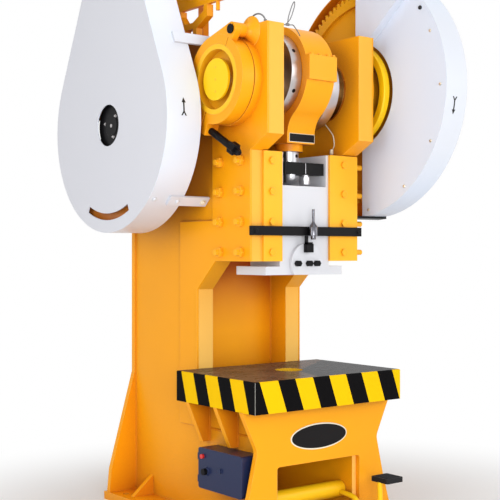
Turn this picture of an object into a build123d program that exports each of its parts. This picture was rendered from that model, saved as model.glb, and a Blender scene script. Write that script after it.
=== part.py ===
"""Geared crank power press with a welded C-shaped plate frame.

+X is the machine's right seen from the front, -Y is the front and +Z is up.  The origin lies on
the floor under the slide's centre line.  A motor on the head drives a flywheel by V-belts, the
flywheel's shaft drives a large gear by a pinion, and the gear's crankshaft moves the slide
through a pitman with an adjusting screw.
"""

import os
from math import atan2, cos, degrees, hypot, pi, radians, sin, sqrt, tan

from build123d import *

# Fits
overrun = 4.0
running_clearance = 0.06
sliding_clearance = 0.4
press_gap = 0.02

# Bolster and bed
bolster_width = 1000.0
bolster_front = -344.0
bolster_thickness = 161.0
bolster_top = 810.0
bolster_hole_radius = 75.0
bolster_chamfer = 4.0
foot_thickness = 45.0
foot_inner_reach = 30.0
foot_outer_reach = 173.0
foot_front = -270.0
foot_back = 1045.0
anchor_hole_radius = 18.0
anchor_inset = 60.0
anchor_front = -160.0
anchor_back = 900.0

# Side plates of the frame
frame_half_width = 367.0
doubler_thickness = 12.0
side_plate_thickness = 95.0
throat_face = 342.0
throat_chamfer_depth = 167.0
throat_chamfer_rise = 156.0
head_bottom = 1398.0
head_front = -131.0
gib_top = 1969.0
cheek_front = -272.0
cheek_bottom = 2043.0
frame_top = 2605.0
frame_rear = 1019.0
rear_shoulder = 2400.0
slope_start = 760.0
doubler_back = 508.0
doubler_foot = 500.0
doubler_step = 1613.0
doubler_head_back = 199.0

# Plates between and behind the side plates
web_setback = 139.0
web_thickness = 40.0
web_top = 1700.0
roof_front = 180.0
roof_thickness = 40.0
head_plate_front = 330.0
head_plate_thickness = 30.0
rear_plate_thickness = 30.0
rear_flare_top = 741.0
rear_flare_foot = 181.0
rear_flare_reach = 168.0
rear_foot_reach = 181.0

# Base front plate, ribs and gussets
bed_front = -250.0
front_plate_thickness = 30.0
front_top_reach = 153.0
front_waist_reach = 57.0
front_waist_height = 445.0
front_low_reach = 108.0
front_low_height = 230.0
front_foot_reach = 163.0
waist_radius = 60.0
window_side_reach = 26.0
window_top = 355.0
window_bottom = 100.0
window_radius = 18.0
rib_places = (0.0, 250.0)
rib_thickness = 30.0
rib_overhang = 142.0
rib_foot_overhang = 47.0
rib_foot = 432.0
gusset_place = 815.0
gusset_overhang = 133.0
gusset_height = 157.0

# Gear pair
gear_module = 12.0
gear_teeth = 99
pinion_teeth = 19
pressure_angle = 20.0
addendum_share = 1.0
dedendum_share = 1.25
backlash = 0.9
gear_stand = 178.0
gear_width = 80.0
gear_rim_depth = 45.0
gear_web_thickness = 34.0
gear_hub_radius = 150.0
gear_hub_gap = 16.0
countershaft_drop = 190.0

# Crankshaft
crank_height = 2332.0
crank_throw = 55.0
journal_radius = 110.0
eccentric_radius = 200.0
cheek_disc_radius = 222.0
cheek_disc_thickness = 67.0
drum_seat_radius = 70.0
drum_seat_setback = 16.0
gear_seat_radius = 80.0
gear_cap_radius = 118.0
gear_cap_thickness = 14.0
bush_wall = 15.0
bush_flange_radius = 168.0
bush_flange_thickness = 12.0
boss_radius = 232.0
boss_thickness = 45.0

# Pitman
pitman_half_width = 95.0
pitman_side_play = 3.0
pitman_bush_wall = 12.0
strap_wall = 50.0
stem_half_depth = 100.0
stem_bottom = 2024.0
stem_fillet = 138.0
strap_block_low = 2340.0
strap_block_high = 2468.0
strap_block_stand = 18.0
collar_radius = 75.0
collar_bottom = 1985.0
screw_radius = 52.0
screw_engagement = 110.0
ball_radius = 58.0
ball_height = 1868.0
ball_room = 14.0
clamp_bottom = 1857.0
clamp_top = 1921.0
clamp_radius = 78.0
clamp_side_gap = 12.0
clamp_front = -126.0
clamp_bar_depth = 62.0
clamp_rod_radius = 7.0
clamp_rod_bottom = 1810.0
clamp_rod_top = 1972.0

# Slide (ram) and its guides
gib_width = 89.0
ram_back = 120.0
ram_top = 1968.0
ram_bottom = 1326.0
flange_reach = 94.0
flange_thickness = 45.0
pocket_wall = 21.0
pocket_back = 92.0
shank_radius = 31.75
shank_depth = 120.0
shank_cap_radius = 108.0
shank_cap_thickness = 22.0
shank_nut_rise = 60.0
shank_nut_places = (-74.0, 4.0, 58.0)
shank_nut_radius = 17.0
shank_nut_length = 26.0
set_screw_rise = 81.0
set_screw_radius = 11.0
set_screw_length = 26.0
set_screw_head = 46.0
set_screw_head_length = 26.0
set_screw_place = -5.0
gib_lip_thickness = 40.0
gib_lip_reach = 41.0
gib_cover_thickness = 16.0
gib_cover_lap = 5.0
gib_cover_left_lap = 29.0
gib_bolt_rows = 4
gib_bolt_low = 1445.0
gib_bolt_pitch = 158.0
gib_bolt_left_inset = 23.0
gib_bolt_right_offset = 4.0
gib_bolt_radius = 20.0
gib_bolt_head = 13.0
guide_bolt_columns = (-55.0, 126.0)
guide_nut_radius = 27.0
guide_nut_length = 18.0
guide_head_radius = 17.0
guide_head_length = 22.0

# Knockout bar across the front
bar_left_reach = 18.0
bar_right_reach = 11.0
bar_low = 1532.0
bar_high = 1580.0
bar_thickness = 22.0
spindle_place = 6.0
spindle_radius = 9.0
spindle_top = 1672.0
spindle_cone_radius = 24.0
spindle_cone_low = 1580.0
spindle_cone_high = 1632.0
spindle_bottom = 1512.0

# Band brake on the crankshaft's left end
drum_radius = 180.0
drum_rim = 26.0
drum_web = 26.0
drum_gap = 4.0
drum_width = 76.0
hub_plate_radius = 108.0
hub_plate_thickness = 14.0
shoe_thickness = 49.0
shoe_split = 12.0
brake_pin_angle = 119.6
brake_lug_angle = 298.6
brake_pin_reach = 273.0
brake_lug_reach = 266.0
pin_lug_radius = 36.0
brake_pin_radius = 16.0
brake_pin_head = 8.0
stud_lug_half = 26.0
stud_lug_thickness = 40.0
stud_radius = 13.0
stud_length = 323.0
stud_head_radius = 26.0
stud_head_length = 20.0
sleeve_radius = 19.0
sleeve_end = 238.0
star_nut_radius = 34.0
star_nut_length = 52.0
star_nut_points = 6
star_groove_share = 0.72

# Countershaft, flywheel and belts
countershaft_radius = 60.0
pinion_seat_radius = 62.0
countershaft_end = 16.0
bearing_wall = 35.0
bearing_flange_radius = 130.0
bearing_flange_thickness = 26.0
flywheel_radius = 540.0
flywheel_stand = 173.0
flywheel_width = 150.0
flywheel_rim_depth = 96.0
flywheel_web_thickness = 36.0
flywheel_hub_radius = 112.0
flywheel_hub_stand = 103.0
flywheel_hole_radius = 70.0
flywheel_holes = 6
flywheel_hole_circle = 290.0
belt_count = 3
belt_pitch = 37.0
belt_width = 32.0
belt_depth = 19.0
belt_foot_share = 0.55
belt_stand = 3.0
belt_edge = 2.0
groove_clearance = 0.6

# Motor
motor_y = 658.0
motor_height = 3217.0
pulley_radius = 112.0
pulley_bore = 30.0
motor_radius = 152.0
motor_inset = 37.0
motor_right = 120.0
motor_bell_radius = 168.0
motor_bell_length = 34.0
fin_count = 28
fin_height = 18.0
fin_thickness = 6.0
fan_cover_length = 110.0
fan_cover_wall = 4.0
fan_cover_taper = 12.0
motor_foot_half_depth = 150.0
motor_foot_width = 60.0
motor_foot_thickness = 22.0
motor_foot_inset = 40.0
terminal_box_size = 130.0
terminal_box_height = 70.0
motor_shaft_setback = 6.0

# Motor platform
platform_bottom = 3000.0
platform_thickness = 35.0
platform_front = 100.0
platform_back = 900.0
platform_right = 130.0
rail_bottom = 2783.0
rail_thickness = 25.0
fork_bar = 34.0
fork_thickness = 40.0
fork_front_leg = 365.0
fork_back_leg = 472.0
fork_cross_height = 2686.0
fork_front_arm = 263.0
fork_back_arm = 514.0
fork_bend = 2736.0
post_front = 690.0
centre_post_right = -40.0
post_depth = 50.0
hanging_bolt_radius = 11.0
hanging_bolt_length = 48.0
hanging_bolt_y = 165.0

# Belt guard
guard_outer_gap = 36.0
guard_inner_gap = 25.0
guard_wall = 5.0
guard_gap = 50.0
guard_top_gap = 27.0
guard_hole_radius = 114.0
slot_radius = 502.0
slot_width = 37.0
slot_half_angle = 25.0
guard_bar_width = 62.0
guard_bar_thickness = 12.0
guard_bar_overlap = 90.0
low_bar_angle = 225.4
high_bar_height = 2570.0

# Gear guard
gear_guard_left_gap = 58.0
gear_guard_right_gap = 22.0
gear_guard_gap = 84.0
gear_guard_wall = 5.0
gear_guard_edge = -61.0
gear_guard_window_gap = 68.0
gear_guard_rear_lap = 45.0
pinion_guard_radius = 205.0
gear_box_raise = 52.0
gear_box_foot = 2600.0
gear_box_corner_y = -158.0
gear_box_corner_z = 2617.0
gear_box_far_y = -420.0
gear_box_far_z = 2837.0
gear_bar_high_angle = 36.0
gear_bar_low_angle = 265.0
gear_bar_foot_lap = 100.0

# Control box on the left of the bed
panel_depth = 108.0
panel_front = -195.0
panel_back = 180.0
panel_low = 207.0
panel_high = 420.0
panel_wall = 6.0
panel_door_thickness = 8.0
panel_door_gap = 0.3
panel_radius = 14.0
lamp_y = 136.0
lamp_z = 377.0
lamp_radius = 12.0
lamp_length = 14.0
button_y = 108.0
button_z = 301.0
button_radius = 17.0
button_length = 18.0
button_travel = 6.0
button_collar_radius = 24.0
button_collar_length = 6.0
lock_y = -16.0
lock_z = 322.0
lock_radius = 13.0
lock_length = 10.0

# Foot pedal
pedal_axis_y = -125.0
pedal_axis_z = 158.0
pedal_tube_radius = 45.0
pedal_tube_wall = 8.0
pedal_pin_radius = 22.0
pedal_pin_length = 40.0
pedal_side_gap = 2.0
pedal_bar = 40.0
pedal_bar_inset = 35.0
pedal_bar_front = -388.0
pedal_pad_offset = 96.0
pedal_pad_width = 120.0
pedal_pad_depth = 124.0
pedal_pad_top = 252.0
pedal_pad_thickness = 26.0
pedal_pad_radius = 10.0

# Lubrication pipe over the left crank bearing
pipe_radius = 4.0
pipe_front = -235.0
pipe_back = -95.0
pipe_rise = 40.0
pipe_inset = 16.0
pipe_nut_radius = 9.0
pipe_nut_length = 12.0

# Places that follow from the sizes above
bed_top = bolster_top - bolster_thickness
plate_outer = frame_half_width - doubler_thickness
plate_inner = plate_outer - side_plate_thickness
side_back = frame_rear - rear_plate_thickness
bed_front_inner = bed_front + front_plate_thickness
web_front = throat_face + web_setback
centre_distance = gear_module * (gear_teeth + pinion_teeth) / 2
countershaft_y = sqrt(centre_distance**2 - countershaft_drop**2)
countershaft_z = crank_height - countershaft_drop
throw_height = crank_height + crank_throw
bush_radius = journal_radius + running_clearance + bush_wall
strap_bore = eccentric_radius + running_clearance + pitman_bush_wall
strap_radius = strap_bore + strap_wall
boss_face = frame_half_width + boss_thickness
bearing_radius = countershaft_radius + running_clearance + bearing_wall
disc_inner = pitman_half_width + pitman_side_play
disc_outer = disc_inner + cheek_disc_thickness
ram_front = head_front + sliding_clearance
cover_front = head_front - gib_cover_thickness
shoe_bore = drum_radius + sliding_clearance
shoe_radius = shoe_bore + shoe_thickness
platform_top = platform_bottom + platform_thickness
foot_inner_half_width = plate_inner - foot_inner_reach
foot_half_width = frame_half_width + foot_outer_reach
anchor_half_spacing = foot_half_width - anchor_inset
rear_flare_half_width = plate_outer + rear_flare_reach
rear_foot_half_width = plate_outer + rear_foot_reach
front_top_half_width = plate_outer + front_top_reach
front_waist_half_width = plate_outer + front_waist_reach
front_low_half_width = plate_outer + front_low_reach
front_foot_half_width = plate_outer + front_foot_reach
window_half_width = plate_inner + window_side_reach
rib_reach = plate_outer + rib_overhang
rib_foot_reach = plate_outer + rib_foot_overhang
gusset_reach = plate_outer + gusset_overhang
gear_left = frame_half_width + gear_stand
gear_right = gear_left + gear_width
gear_hub_left = boss_face + gear_hub_gap
drum_face = boss_face + drum_gap + drum_width
drum_inner_face = drum_face - drum_width
drum_seat_end = drum_face - drum_seat_setback
ram_half_width = plate_inner - gib_width
flange_half_width = ram_half_width + flange_reach
pocket_half_width = ram_half_width - pocket_wall
clamp_half_length = pocket_half_width - clamp_side_gap
gib_cover_left_reach = plate_inner + gib_cover_left_lap
gib_bolt_left = plate_inner - gib_bolt_left_inset
gib_bolt_right = plate_inner + gib_bolt_right_offset
bar_left = frame_half_width + bar_left_reach
bar_right = frame_half_width + bar_right_reach
flywheel_left = frame_half_width + flywheel_stand + flywheel_width
flywheel_hub_right = frame_half_width + flywheel_hub_stand
countershaft_left = flywheel_left + countershaft_end
motor_left = frame_half_width - motor_inset
motor_shaft_left = flywheel_left - motor_shaft_setback
guard_outer = flywheel_left + guard_outer_gap
guard_inner = flywheel_left - flywheel_width - guard_inner_gap
guard_radius = flywheel_radius + guard_gap
guard_top_radius = pulley_radius + guard_top_gap
gear_guard_left = gear_left - gear_guard_left_gap
gear_guard_right = gear_right + gear_guard_right_gap
gear_guard_rear_left = gear_right - gear_guard_rear_lap
gear_guard_radius = gear_module * (gear_teeth / 2 + addendum_share) + gear_guard_gap
gear_guard_window = boss_radius + gear_guard_window_gap
panel_outer = plate_outer + panel_depth
pedal_bar_x = plate_inner - pedal_bar_inset
pedal_pad_x = plate_inner + pedal_pad_offset
shank_nut_height = ram_bottom + shank_nut_rise
set_screw_height = shank_nut_height + set_screw_rise


def along_x(face, low, high):
    """Thickens an outline drawn in (y, z) from x = low to x = high."""
    return extrude(Plane.YZ.offset(low) * face, amount=high - low, dir=(1, 0, 0))


def along_y(face, low, high):
    """Thickens an outline drawn in (x, z) from y = low to y = high."""
    return extrude(Plane.XZ.offset(-high) * face, amount=high - low, dir=(0, -1, 0))


def along_z(face, low, high):
    """Thickens an outline drawn in (x, y) from z = low to z = high."""
    return extrude(Plane.XY.offset(low) * face, amount=high - low, dir=(0, 0, 1))


def block(x, y, z):
    """A box between pairs of limits."""
    face = Pos((x[0] + x[1]) / 2, (y[0] + y[1]) / 2) * Rectangle(x[1] - x[0], y[1] - y[0])
    return along_z(face, z[0], z[1])


def disc(radius, y, z):
    """A circle in the (y, z) plane."""
    return Pos(y, z) * Circle(radius)


def ring(outer, inner, y, z, low, high):
    """A tube along X between two radii."""
    return along_x(disc(outer, y, z) - disc(inner, y, z), low, high)


def outline(*points):
    """A closed polygon in the coordinates that it is given."""
    return Polygon(*points, align=None)


def mirrored(points):
    """A closed outline in (x, z) from the points of its right half, listed upwards."""
    return outline(*points, *[(-x, z) for x, z in reversed(points)])


def other_side(solid):
    """The same piece on the machine's other side."""
    return mirror(solid, about=Plane.YZ)


def group(*solids):
    """Several separate solids kept as one piece."""
    return Compound(children=[Solid(s.wrapped) if isinstance(s, Solid) else s for s in solids])


def turned(solid, angle, y, z):
    """Turns a piece about an axis along X through (y, z)."""
    return solid.rotate(Axis((0, y, z), (1, 0, 0)), angle)


def side_outline():
    """The C shape of a side plate: bed, throat, head and the cheek that carries the crank."""
    return outline(
        (side_back, foot_thickness),
        (side_back, rear_shoulder),
        (slope_start, frame_top),
        (cheek_front, frame_top),
        (cheek_front, cheek_bottom),
        (head_front, gib_top),
        (head_front, head_bottom),
        (throat_face - throat_chamfer_depth, head_bottom),
        (throat_face, head_bottom - throat_chamfer_rise),
        (throat_face, bed_top),
        (bed_front_inner, bed_top),
        (bed_front_inner, foot_thickness),
    )


def side_plate():
    """Right side plate, bored for the crank bush, the countershaft bearing and the pedal pin."""
    face = side_outline() - disc(bush_radius + press_gap, 0, crank_height)
    face -= disc(bearing_radius + press_gap, countershaft_y, countershaft_z)
    face -= disc(pedal_pin_radius + running_clearance, pedal_axis_y, pedal_axis_z)
    return along_x(face, plate_inner, plate_outer)


def side_doubler():
    """Plate welded on the outside of the throat and the head of the right side plate."""
    face = outline(
        (doubler_back, doubler_foot),
        (doubler_back, doubler_step),
        (doubler_head_back, doubler_step),
        (doubler_head_back, frame_top),
        (cheek_front, frame_top),
        (cheek_front, cheek_bottom),
        (head_front, gib_top),
        (head_front, head_bottom),
        (throat_face - throat_chamfer_depth, head_bottom),
        (throat_face, head_bottom - throat_chamfer_rise),
        (throat_face, doubler_foot),
    )
    face -= disc(bush_radius + press_gap, 0, crank_height)
    return along_x(face, plate_outer, frame_half_width)


def rear_plate():
    """Closing plate of the back, flared towards the floor."""
    right = [
        (rear_foot_half_width, foot_thickness),
        (rear_flare_half_width, rear_flare_foot),
        (frame_half_width, rear_flare_top),
        (frame_half_width, rear_shoulder),
    ]
    return along_y(mirrored(right), side_back, frame_rear)


def head_plates():
    """Plates between the side plates: the roof of the throat and the top of the head."""
    roof = block(
        (-plate_inner, plate_inner), (roof_front, web_front), (head_bottom, head_bottom + roof_thickness)
    )
    top = block(
        (-plate_inner, plate_inner),
        (head_plate_front, slope_start),
        (frame_top - head_plate_thickness, frame_top),
    )
    return group(roof, top)


def base_front_plate():
    """Waisted front of the bed with a window for the pedal."""
    right = [
        (front_foot_half_width, foot_thickness),
        (front_low_half_width, front_low_height),
        (front_waist_half_width, front_waist_height),
        (front_top_half_width, bed_top),
    ]
    face = mirrored(right)
    waist = [v for v in face.vertices() if abs(v.Y - front_waist_height) < overrun]
    face = fillet(waist, waist_radius)
    window = Rectangle(2 * window_half_width, window_top - window_bottom)
    window = fillet(window.vertices(), window_radius)
    face -= Pos(0, (window_top + window_bottom) / 2) * window
    return along_y(face, bed_front, bed_front_inner)


def foot_plates():
    """Floor plates under the two side plates, with anchor holes."""
    depth = (foot_front, foot_back)
    right = block((foot_inner_half_width, foot_half_width), depth, (0, foot_thickness))
    for y in (anchor_front, anchor_back):
        hole = Pos(anchor_half_spacing, y) * Circle(anchor_hole_radius)
        right -= along_z(hole, -overrun, foot_thickness + overrun)
    return group(right, other_side(right))


def base_ribs():
    """Ribs under the bolster's overhang and gussets on the feet."""
    face = outline(
        (plate_outer, bed_top), (rib_reach, bed_top), (rib_foot_reach, rib_foot), (plate_outer, rib_foot)
    )
    ribs = [along_y(face, y - rib_thickness / 2, y + rib_thickness / 2) for y in rib_places]
    low = foot_thickness
    foot = outline((plate_outer, low), (gusset_reach, low), (plate_outer, gusset_height))
    ribs.append(along_y(foot, gusset_place - rib_thickness / 2, gusset_place + rib_thickness / 2))
    return group(*ribs, *[other_side(rib) for rib in ribs])


def bolster_plate():
    """Thick work table with a round drop hole in its middle."""
    half = bolster_width / 2
    plate = block((-half, half), (bolster_front, throat_face), (bed_top, bolster_top))
    plate -= along_z(Circle(bolster_hole_radius), bed_top - overrun, bolster_top + overrun)
    top = plate.faces().sort_by(Axis.Z)[-1]
    return chamfer(top.outer_wire().edges(), bolster_chamfer)


def gib():
    """Right guide of the slide: a bar beside the slide with a lip behind it."""
    inner = ram_half_width + sliding_clearance
    back = ram_back + sliding_clearance + gib_lip_thickness
    bar = block((inner, plate_inner), (head_front, back), (head_bottom, gib_top))
    lip = block(
        (inner - gib_lip_reach, inner), (ram_back + sliding_clearance, back), (head_bottom, gib_top)
    )
    return bar + lip


def gib_covers():
    """Flat bars bolted on the guides' fronts that keep the slide in."""
    inner = ram_half_width - gib_cover_lap
    right = block((inner, frame_half_width), (cover_front, head_front), (head_bottom, gib_top))
    left = block((-gib_cover_left_reach, -inner), (cover_front, head_front), (head_bottom, gib_top))
    return group(left, right)


def gib_bolts():
    """Cover bolts on the front and the guides' setting bolts with lock nuts on both sides."""
    solids = []
    for row in range(gib_bolt_rows):
        z = gib_bolt_low + row * gib_bolt_pitch
        for x in (-gib_bolt_left, gib_bolt_right):
            head = Pos(x, z) * RegularPolygon(gib_bolt_radius, 6)
            solids.append(along_y(head, cover_front - gib_bolt_head, cover_front))
        for y in guide_bolt_columns:
            nut_end = frame_half_width + guide_nut_length
            nut = along_x(Pos(y, z) * RegularPolygon(guide_nut_radius, 6), frame_half_width, nut_end)
            head = along_x(
                Pos(y, z) * RegularPolygon(guide_head_radius, 6), nut_end, nut_end + guide_head_length
            )
            solids += [nut + head, other_side(nut + head)]
    return group(*solids)


def crank_bush():
    """Flanged bronze bush of the right main bearing."""
    bush = ring(
        bush_radius, journal_radius + running_clearance, 0, crank_height, plate_inner, boss_face
    )
    bush += ring(
        bush_flange_radius,
        journal_radius + running_clearance,
        0,
        crank_height,
        plate_inner - bush_flange_thickness,
        plate_inner,
    )
    return bush


def bearing_boss():
    """Round boss welded on the side plate round the right main bearing."""
    return ring(boss_radius, bush_radius + press_gap, 0, crank_height, frame_half_width, boss_face)


def countershaft_bearing():
    """Flanged bearing housing of the countershaft in the right side plate."""
    bore = countershaft_radius + running_clearance
    body = ring(bearing_radius, bore, countershaft_y, countershaft_z, plate_inner, plate_outer)
    flange_end = plate_outer + bearing_flange_thickness
    return body + ring(bearing_flange_radius, bore, countershaft_y, countershaft_z, plate_outer, flange_end)


def crankshaft():
    """Forged shaft with an eccentric between two discs."""
    shaft = along_x(disc(drum_seat_radius, 0, crank_height), -drum_seat_end, -boss_face)
    shaft += along_x(disc(journal_radius, 0, crank_height), -boss_face, -disc_outer)
    shaft += along_x(disc(cheek_disc_radius, 0, throw_height), -disc_outer, -disc_inner)
    shaft += along_x(disc(eccentric_radius, 0, throw_height), -disc_inner, disc_inner)
    shaft += along_x(disc(cheek_disc_radius, 0, crank_height), disc_inner, disc_outer)
    shaft += along_x(disc(journal_radius, 0, crank_height), disc_outer, gear_hub_left)
    return shaft + along_x(disc(gear_seat_radius, 0, crank_height), gear_hub_left, gear_right)


def involute(radius, base_radius):
    """Angle in radians by which an involute has turned where it crosses a radius."""
    if radius <= base_radius:
        return 0.0
    tangent = sqrt((radius / base_radius) ** 2 - 1)
    return tangent - atan2(tangent, 1)


def tooth_outline(teeth, steps, phase, y, z):
    """Outline in (y, z) of a spur gear whose first tooth points along the phase angle."""
    pitch = gear_module * teeth / 2
    base = pitch * cos(radians(pressure_angle))
    root = pitch - dedendum_share * gear_module
    tip = pitch + addendum_share * gear_module
    half_tooth = (pi * gear_module / 2 - backlash / 2) / (2 * pitch) + involute(pitch, base)
    start = max(root, base)
    radii = [start + (tip - start) * step / steps for step in range(steps + 1)]
    if root < base:
        radii.insert(0, root)
    points = []
    for tooth in range(teeth):
        middle = radians(phase) + 2 * pi * tooth / teeth
        flank = [(r, half_tooth - involute(r, base)) for r in radii]
        for r, turn in flank:
            points.append((y + r * cos(middle - turn), z + r * sin(middle - turn)))
        for r, turn in reversed(flank):
            points.append((y + r * cos(middle + turn), z + r * sin(middle + turn)))
    return outline(*points)


def mesh_angle():
    """Direction in degrees from the crank to the countershaft in the (y, z) plane."""
    return degrees(atan2(countershaft_z - crank_height, countershaft_y))


def bull_gear():
    """Large spur gear with a recessed web and a long hub on the crankshaft."""
    teeth = tooth_outline(gear_teeth, 1, mesh_angle() + 180 / gear_teeth, 0, crank_height)
    gear = along_x(teeth, gear_left, gear_right)
    rim_bore = gear_module * gear_teeth / 2 - dedendum_share * gear_module - gear_rim_depth
    web_left = gear_left + (gear_width - gear_web_thickness) / 2
    gear -= ring(rim_bore, gear_hub_radius, 0, crank_height, gear_left - overrun, web_left)
    gear -= ring(
        rim_bore, gear_hub_radius, 0, crank_height, web_left + gear_web_thickness, gear_right + overrun
    )
    gear += along_x(disc(gear_hub_radius, 0, crank_height), gear_hub_left + press_gap, gear_left)
    bore = disc(gear_seat_radius + press_gap, 0, crank_height)
    return gear - along_x(bore, gear_hub_left - overrun, gear_right + overrun)


def gear_cap():
    """Round plate bolted on the crankshaft's end to hold the gear."""
    return along_x(disc(gear_cap_radius, 0, crank_height), gear_right, gear_right + gear_cap_thickness)


def brake_drum():
    """Dished drum of the band brake."""
    drum = along_x(disc(drum_radius, 0, crank_height), -drum_face, -drum_inner_face)
    dish = disc(drum_radius - drum_rim, 0, crank_height)
    drum -= along_x(dish, -drum_face - overrun, -drum_inner_face - drum_web)
    bore = disc(drum_seat_radius + press_gap, 0, crank_height)
    return drum - along_x(bore, -drum_face - overrun, -drum_inner_face + overrun)


def brake_hub_plate():
    """Round plate on the crankshaft's end inside the drum."""
    return along_x(
        disc(hub_plate_radius, 0, crank_height), -drum_seat_end - hub_plate_thickness, -drum_seat_end
    )


def stud_frame():
    """Start point and direction in (y, z) of the brake's stud, square to the shoes' lower split."""
    angle = radians(brake_lug_angle)
    start = (brake_lug_reach * cos(angle), crank_height + brake_lug_reach * sin(angle))
    return start, (sin(angle), -cos(angle))


def stud_block(low, high):
    """A lug on the shoes' lower end between two distances along the stud."""
    (y, z), (along_y_share, along_z_share) = stud_frame()
    width = drum_width - 2 * sliding_clearance
    top = stud_lug_half
    foot = shoe_bore - brake_lug_reach
    lug = Pos(0, (low + high) / 2, (top + foot) / 2) * Box(width, high - low, top - foot)
    lug = Rot(degrees(atan2(along_z_share, along_y_share)), 0, 0) * lug
    return Pos(-(drum_face + drum_inner_face) / 2, y, z) * lug


def stud_cylinder(radius, low, high):
    """A round bar on the stud's line."""
    (y, z), (along_y_share, along_z_share) = stud_frame()
    centre_x = -(drum_face + drum_inner_face) / 2
    plane = Plane((centre_x, y, z), x_dir=(1, 0, 0), z_dir=(0, along_y_share, along_z_share))
    return extrude(plane.offset(low) * Circle(radius), amount=high - low)


def brake_shoe(front):
    """One half of the band: an arc round the drum, a hinge lug above and a stud lug below."""
    low = -drum_face + sliding_clearance
    high = -drum_inner_face - sliding_clearance
    band = ring(shoe_radius, shoe_bore, 0, crank_height, low, high)
    first, second = radians(brake_pin_angle), radians(brake_lug_angle)
    reach = 2 * shoe_radius
    middle = radians((brake_pin_angle + brake_lug_angle) / 2 + (0 if front else 180))
    keep = outline(
        (reach * cos(first), crank_height + reach * sin(first)),
        (reach * cos(first) + reach * cos(middle), crank_height + reach * (sin(first) + sin(middle))),
        (reach * cos(second) + reach * cos(middle), crank_height + reach * (sin(second) + sin(middle))),
        (reach * cos(second), crank_height + reach * sin(second)),
    )
    shift = Pos(0, shoe_split / 2 * cos(middle), shoe_split / 2 * sin(middle))
    shoe = band & (shift * along_x(keep, low, high))
    pin_y = brake_pin_reach * cos(first)
    pin_z = crank_height + brake_pin_reach * sin(first)
    mid_x = (low + high) / 2
    ear = (low, mid_x - sliding_clearance / 2) if front else (mid_x + sliding_clearance / 2, high)
    lug = along_x(disc(pin_lug_radius, pin_y, pin_z), ear[0], ear[1])
    width = pin_lug_radius if front else -pin_lug_radius
    neck = outline(
        (0, crank_height), (pin_y, pin_z), (pin_y - width * sin(first), pin_z + width * cos(first))
    )
    lug += along_x(neck, ear[0], ear[1])
    side = shoe_split / 2 if front else -shoe_split / 2 - stud_lug_thickness
    lug_block = stud_block(side, side + stud_lug_thickness)
    drum_space = along_x(disc(shoe_bore, 0, crank_height), low - overrun, high + overrun)
    shoe = shoe + lug + lug_block - drum_space
    shoe -= along_x(disc(brake_pin_radius + press_gap, pin_y, pin_z), low - overrun, high + overrun)
    return shoe - stud_cylinder(stud_radius + press_gap, -stud_length, stud_length)


def brake_pin():
    """Hinge pin of the brake shoes with a round head."""
    angle = radians(brake_pin_angle)
    y, z = brake_pin_reach * cos(angle), crank_height + brake_pin_reach * sin(angle)
    pin = along_x(disc(brake_pin_radius, y, z), -drum_face, -frame_half_width)
    head = disc(brake_pin_radius + brake_pin_head, y, z)
    return pin + along_x(head, -drum_face - brake_pin_head, -drum_face)


def brake_stud():
    """Long bolt that draws the shoes together, with its spacer sleeve."""
    back = -shoe_split / 2 - stud_lug_thickness
    stud = stud_cylinder(stud_radius, back, stud_length)
    stud += stud_cylinder(stud_head_radius, back - stud_head_length, back)
    return stud + stud_cylinder(sleeve_radius, shoe_split / 2 + stud_lug_thickness, sleeve_end)


def brake_nut():
    """Star-shaped hand nut on the stud's end."""
    (y, z), (along_y_share, along_z_share) = stud_frame()
    centre_x = -(drum_face + drum_inner_face) / 2
    plane = Plane((centre_x, y, z), x_dir=(1, 0, 0), z_dir=(0, along_y_share, along_z_share))
    points = []
    for corner in range(2 * star_nut_points):
        radius = star_nut_radius * (1 if corner % 2 == 0 else star_groove_share)
        angle = pi * corner / star_nut_points
        points.append((radius * cos(angle), radius * sin(angle)))
    star = outline(*points) - Circle(stud_radius + press_gap)
    return extrude(plane.offset(sleeve_end) * star, amount=star_nut_length)


def pitman():
    """Cast connecting rod: strap round the eccentric, curved neck, stem and screw collar."""
    face = disc(strap_radius, 0, throw_height)
    stem = throw_height - stem_bottom
    face += Pos(0, stem_bottom + stem / 2) * Rectangle(2 * stem_half_depth, stem)
    neck_height = throw_height - sqrt(strap_radius**2 - stem_half_depth**2)
    corners = [v for v in face.vertices() if abs(v.Y - neck_height) < overrun]
    face = fillet(corners, stem_fillet)
    block_front = -strap_radius - strap_block_stand
    face += Pos(block_front / 2, (strap_block_low + strap_block_high) / 2) * Rectangle(
        -block_front, strap_block_high - strap_block_low
    )
    face -= disc(strap_bore + press_gap, 0, throw_height)
    rod = along_x(face, -pitman_half_width, pitman_half_width)
    rod += along_z(Circle(collar_radius), collar_bottom, stem_bottom)
    return rod - along_z(
        Circle(screw_radius + press_gap), collar_bottom - overrun, collar_bottom + screw_engagement
    )


def pitman_bush():
    """Bronze liner of the pitman's strap."""
    return ring(
        strap_bore,
        eccentric_radius + running_clearance,
        0,
        throw_height,
        -pitman_half_width,
        pitman_half_width,
    )


def adjusting_screw():
    """Screw under the pitman with a ball at its lower end."""
    screw = along_z(Circle(screw_radius), ball_height, collar_bottom + screw_engagement)
    return screw + Pos(0, 0, ball_height) * Sphere(ball_radius)


def screw_clamp():
    """Split clamp round the screw, with the bar of its bolts across the slide's pocket."""
    back = clamp_front + clamp_bar_depth
    face = Circle(clamp_radius)
    face += Pos(0, (clamp_front + back) / 2) * Rectangle(2 * clamp_half_length, clamp_bar_depth)
    clamp = along_z(face, clamp_bottom, clamp_top)
    rod = Pos(-clamp_half_length + clamp_rod_radius, clamp_front) * Circle(clamp_rod_radius)
    clamp += along_z(rod, clamp_rod_bottom, clamp_rod_top)
    clamp -= Pos(0, 0, ball_height) * Sphere(ball_radius + press_gap)
    return clamp - along_z(Circle(screw_radius + press_gap), ball_height, clamp_top + overrun)


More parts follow.
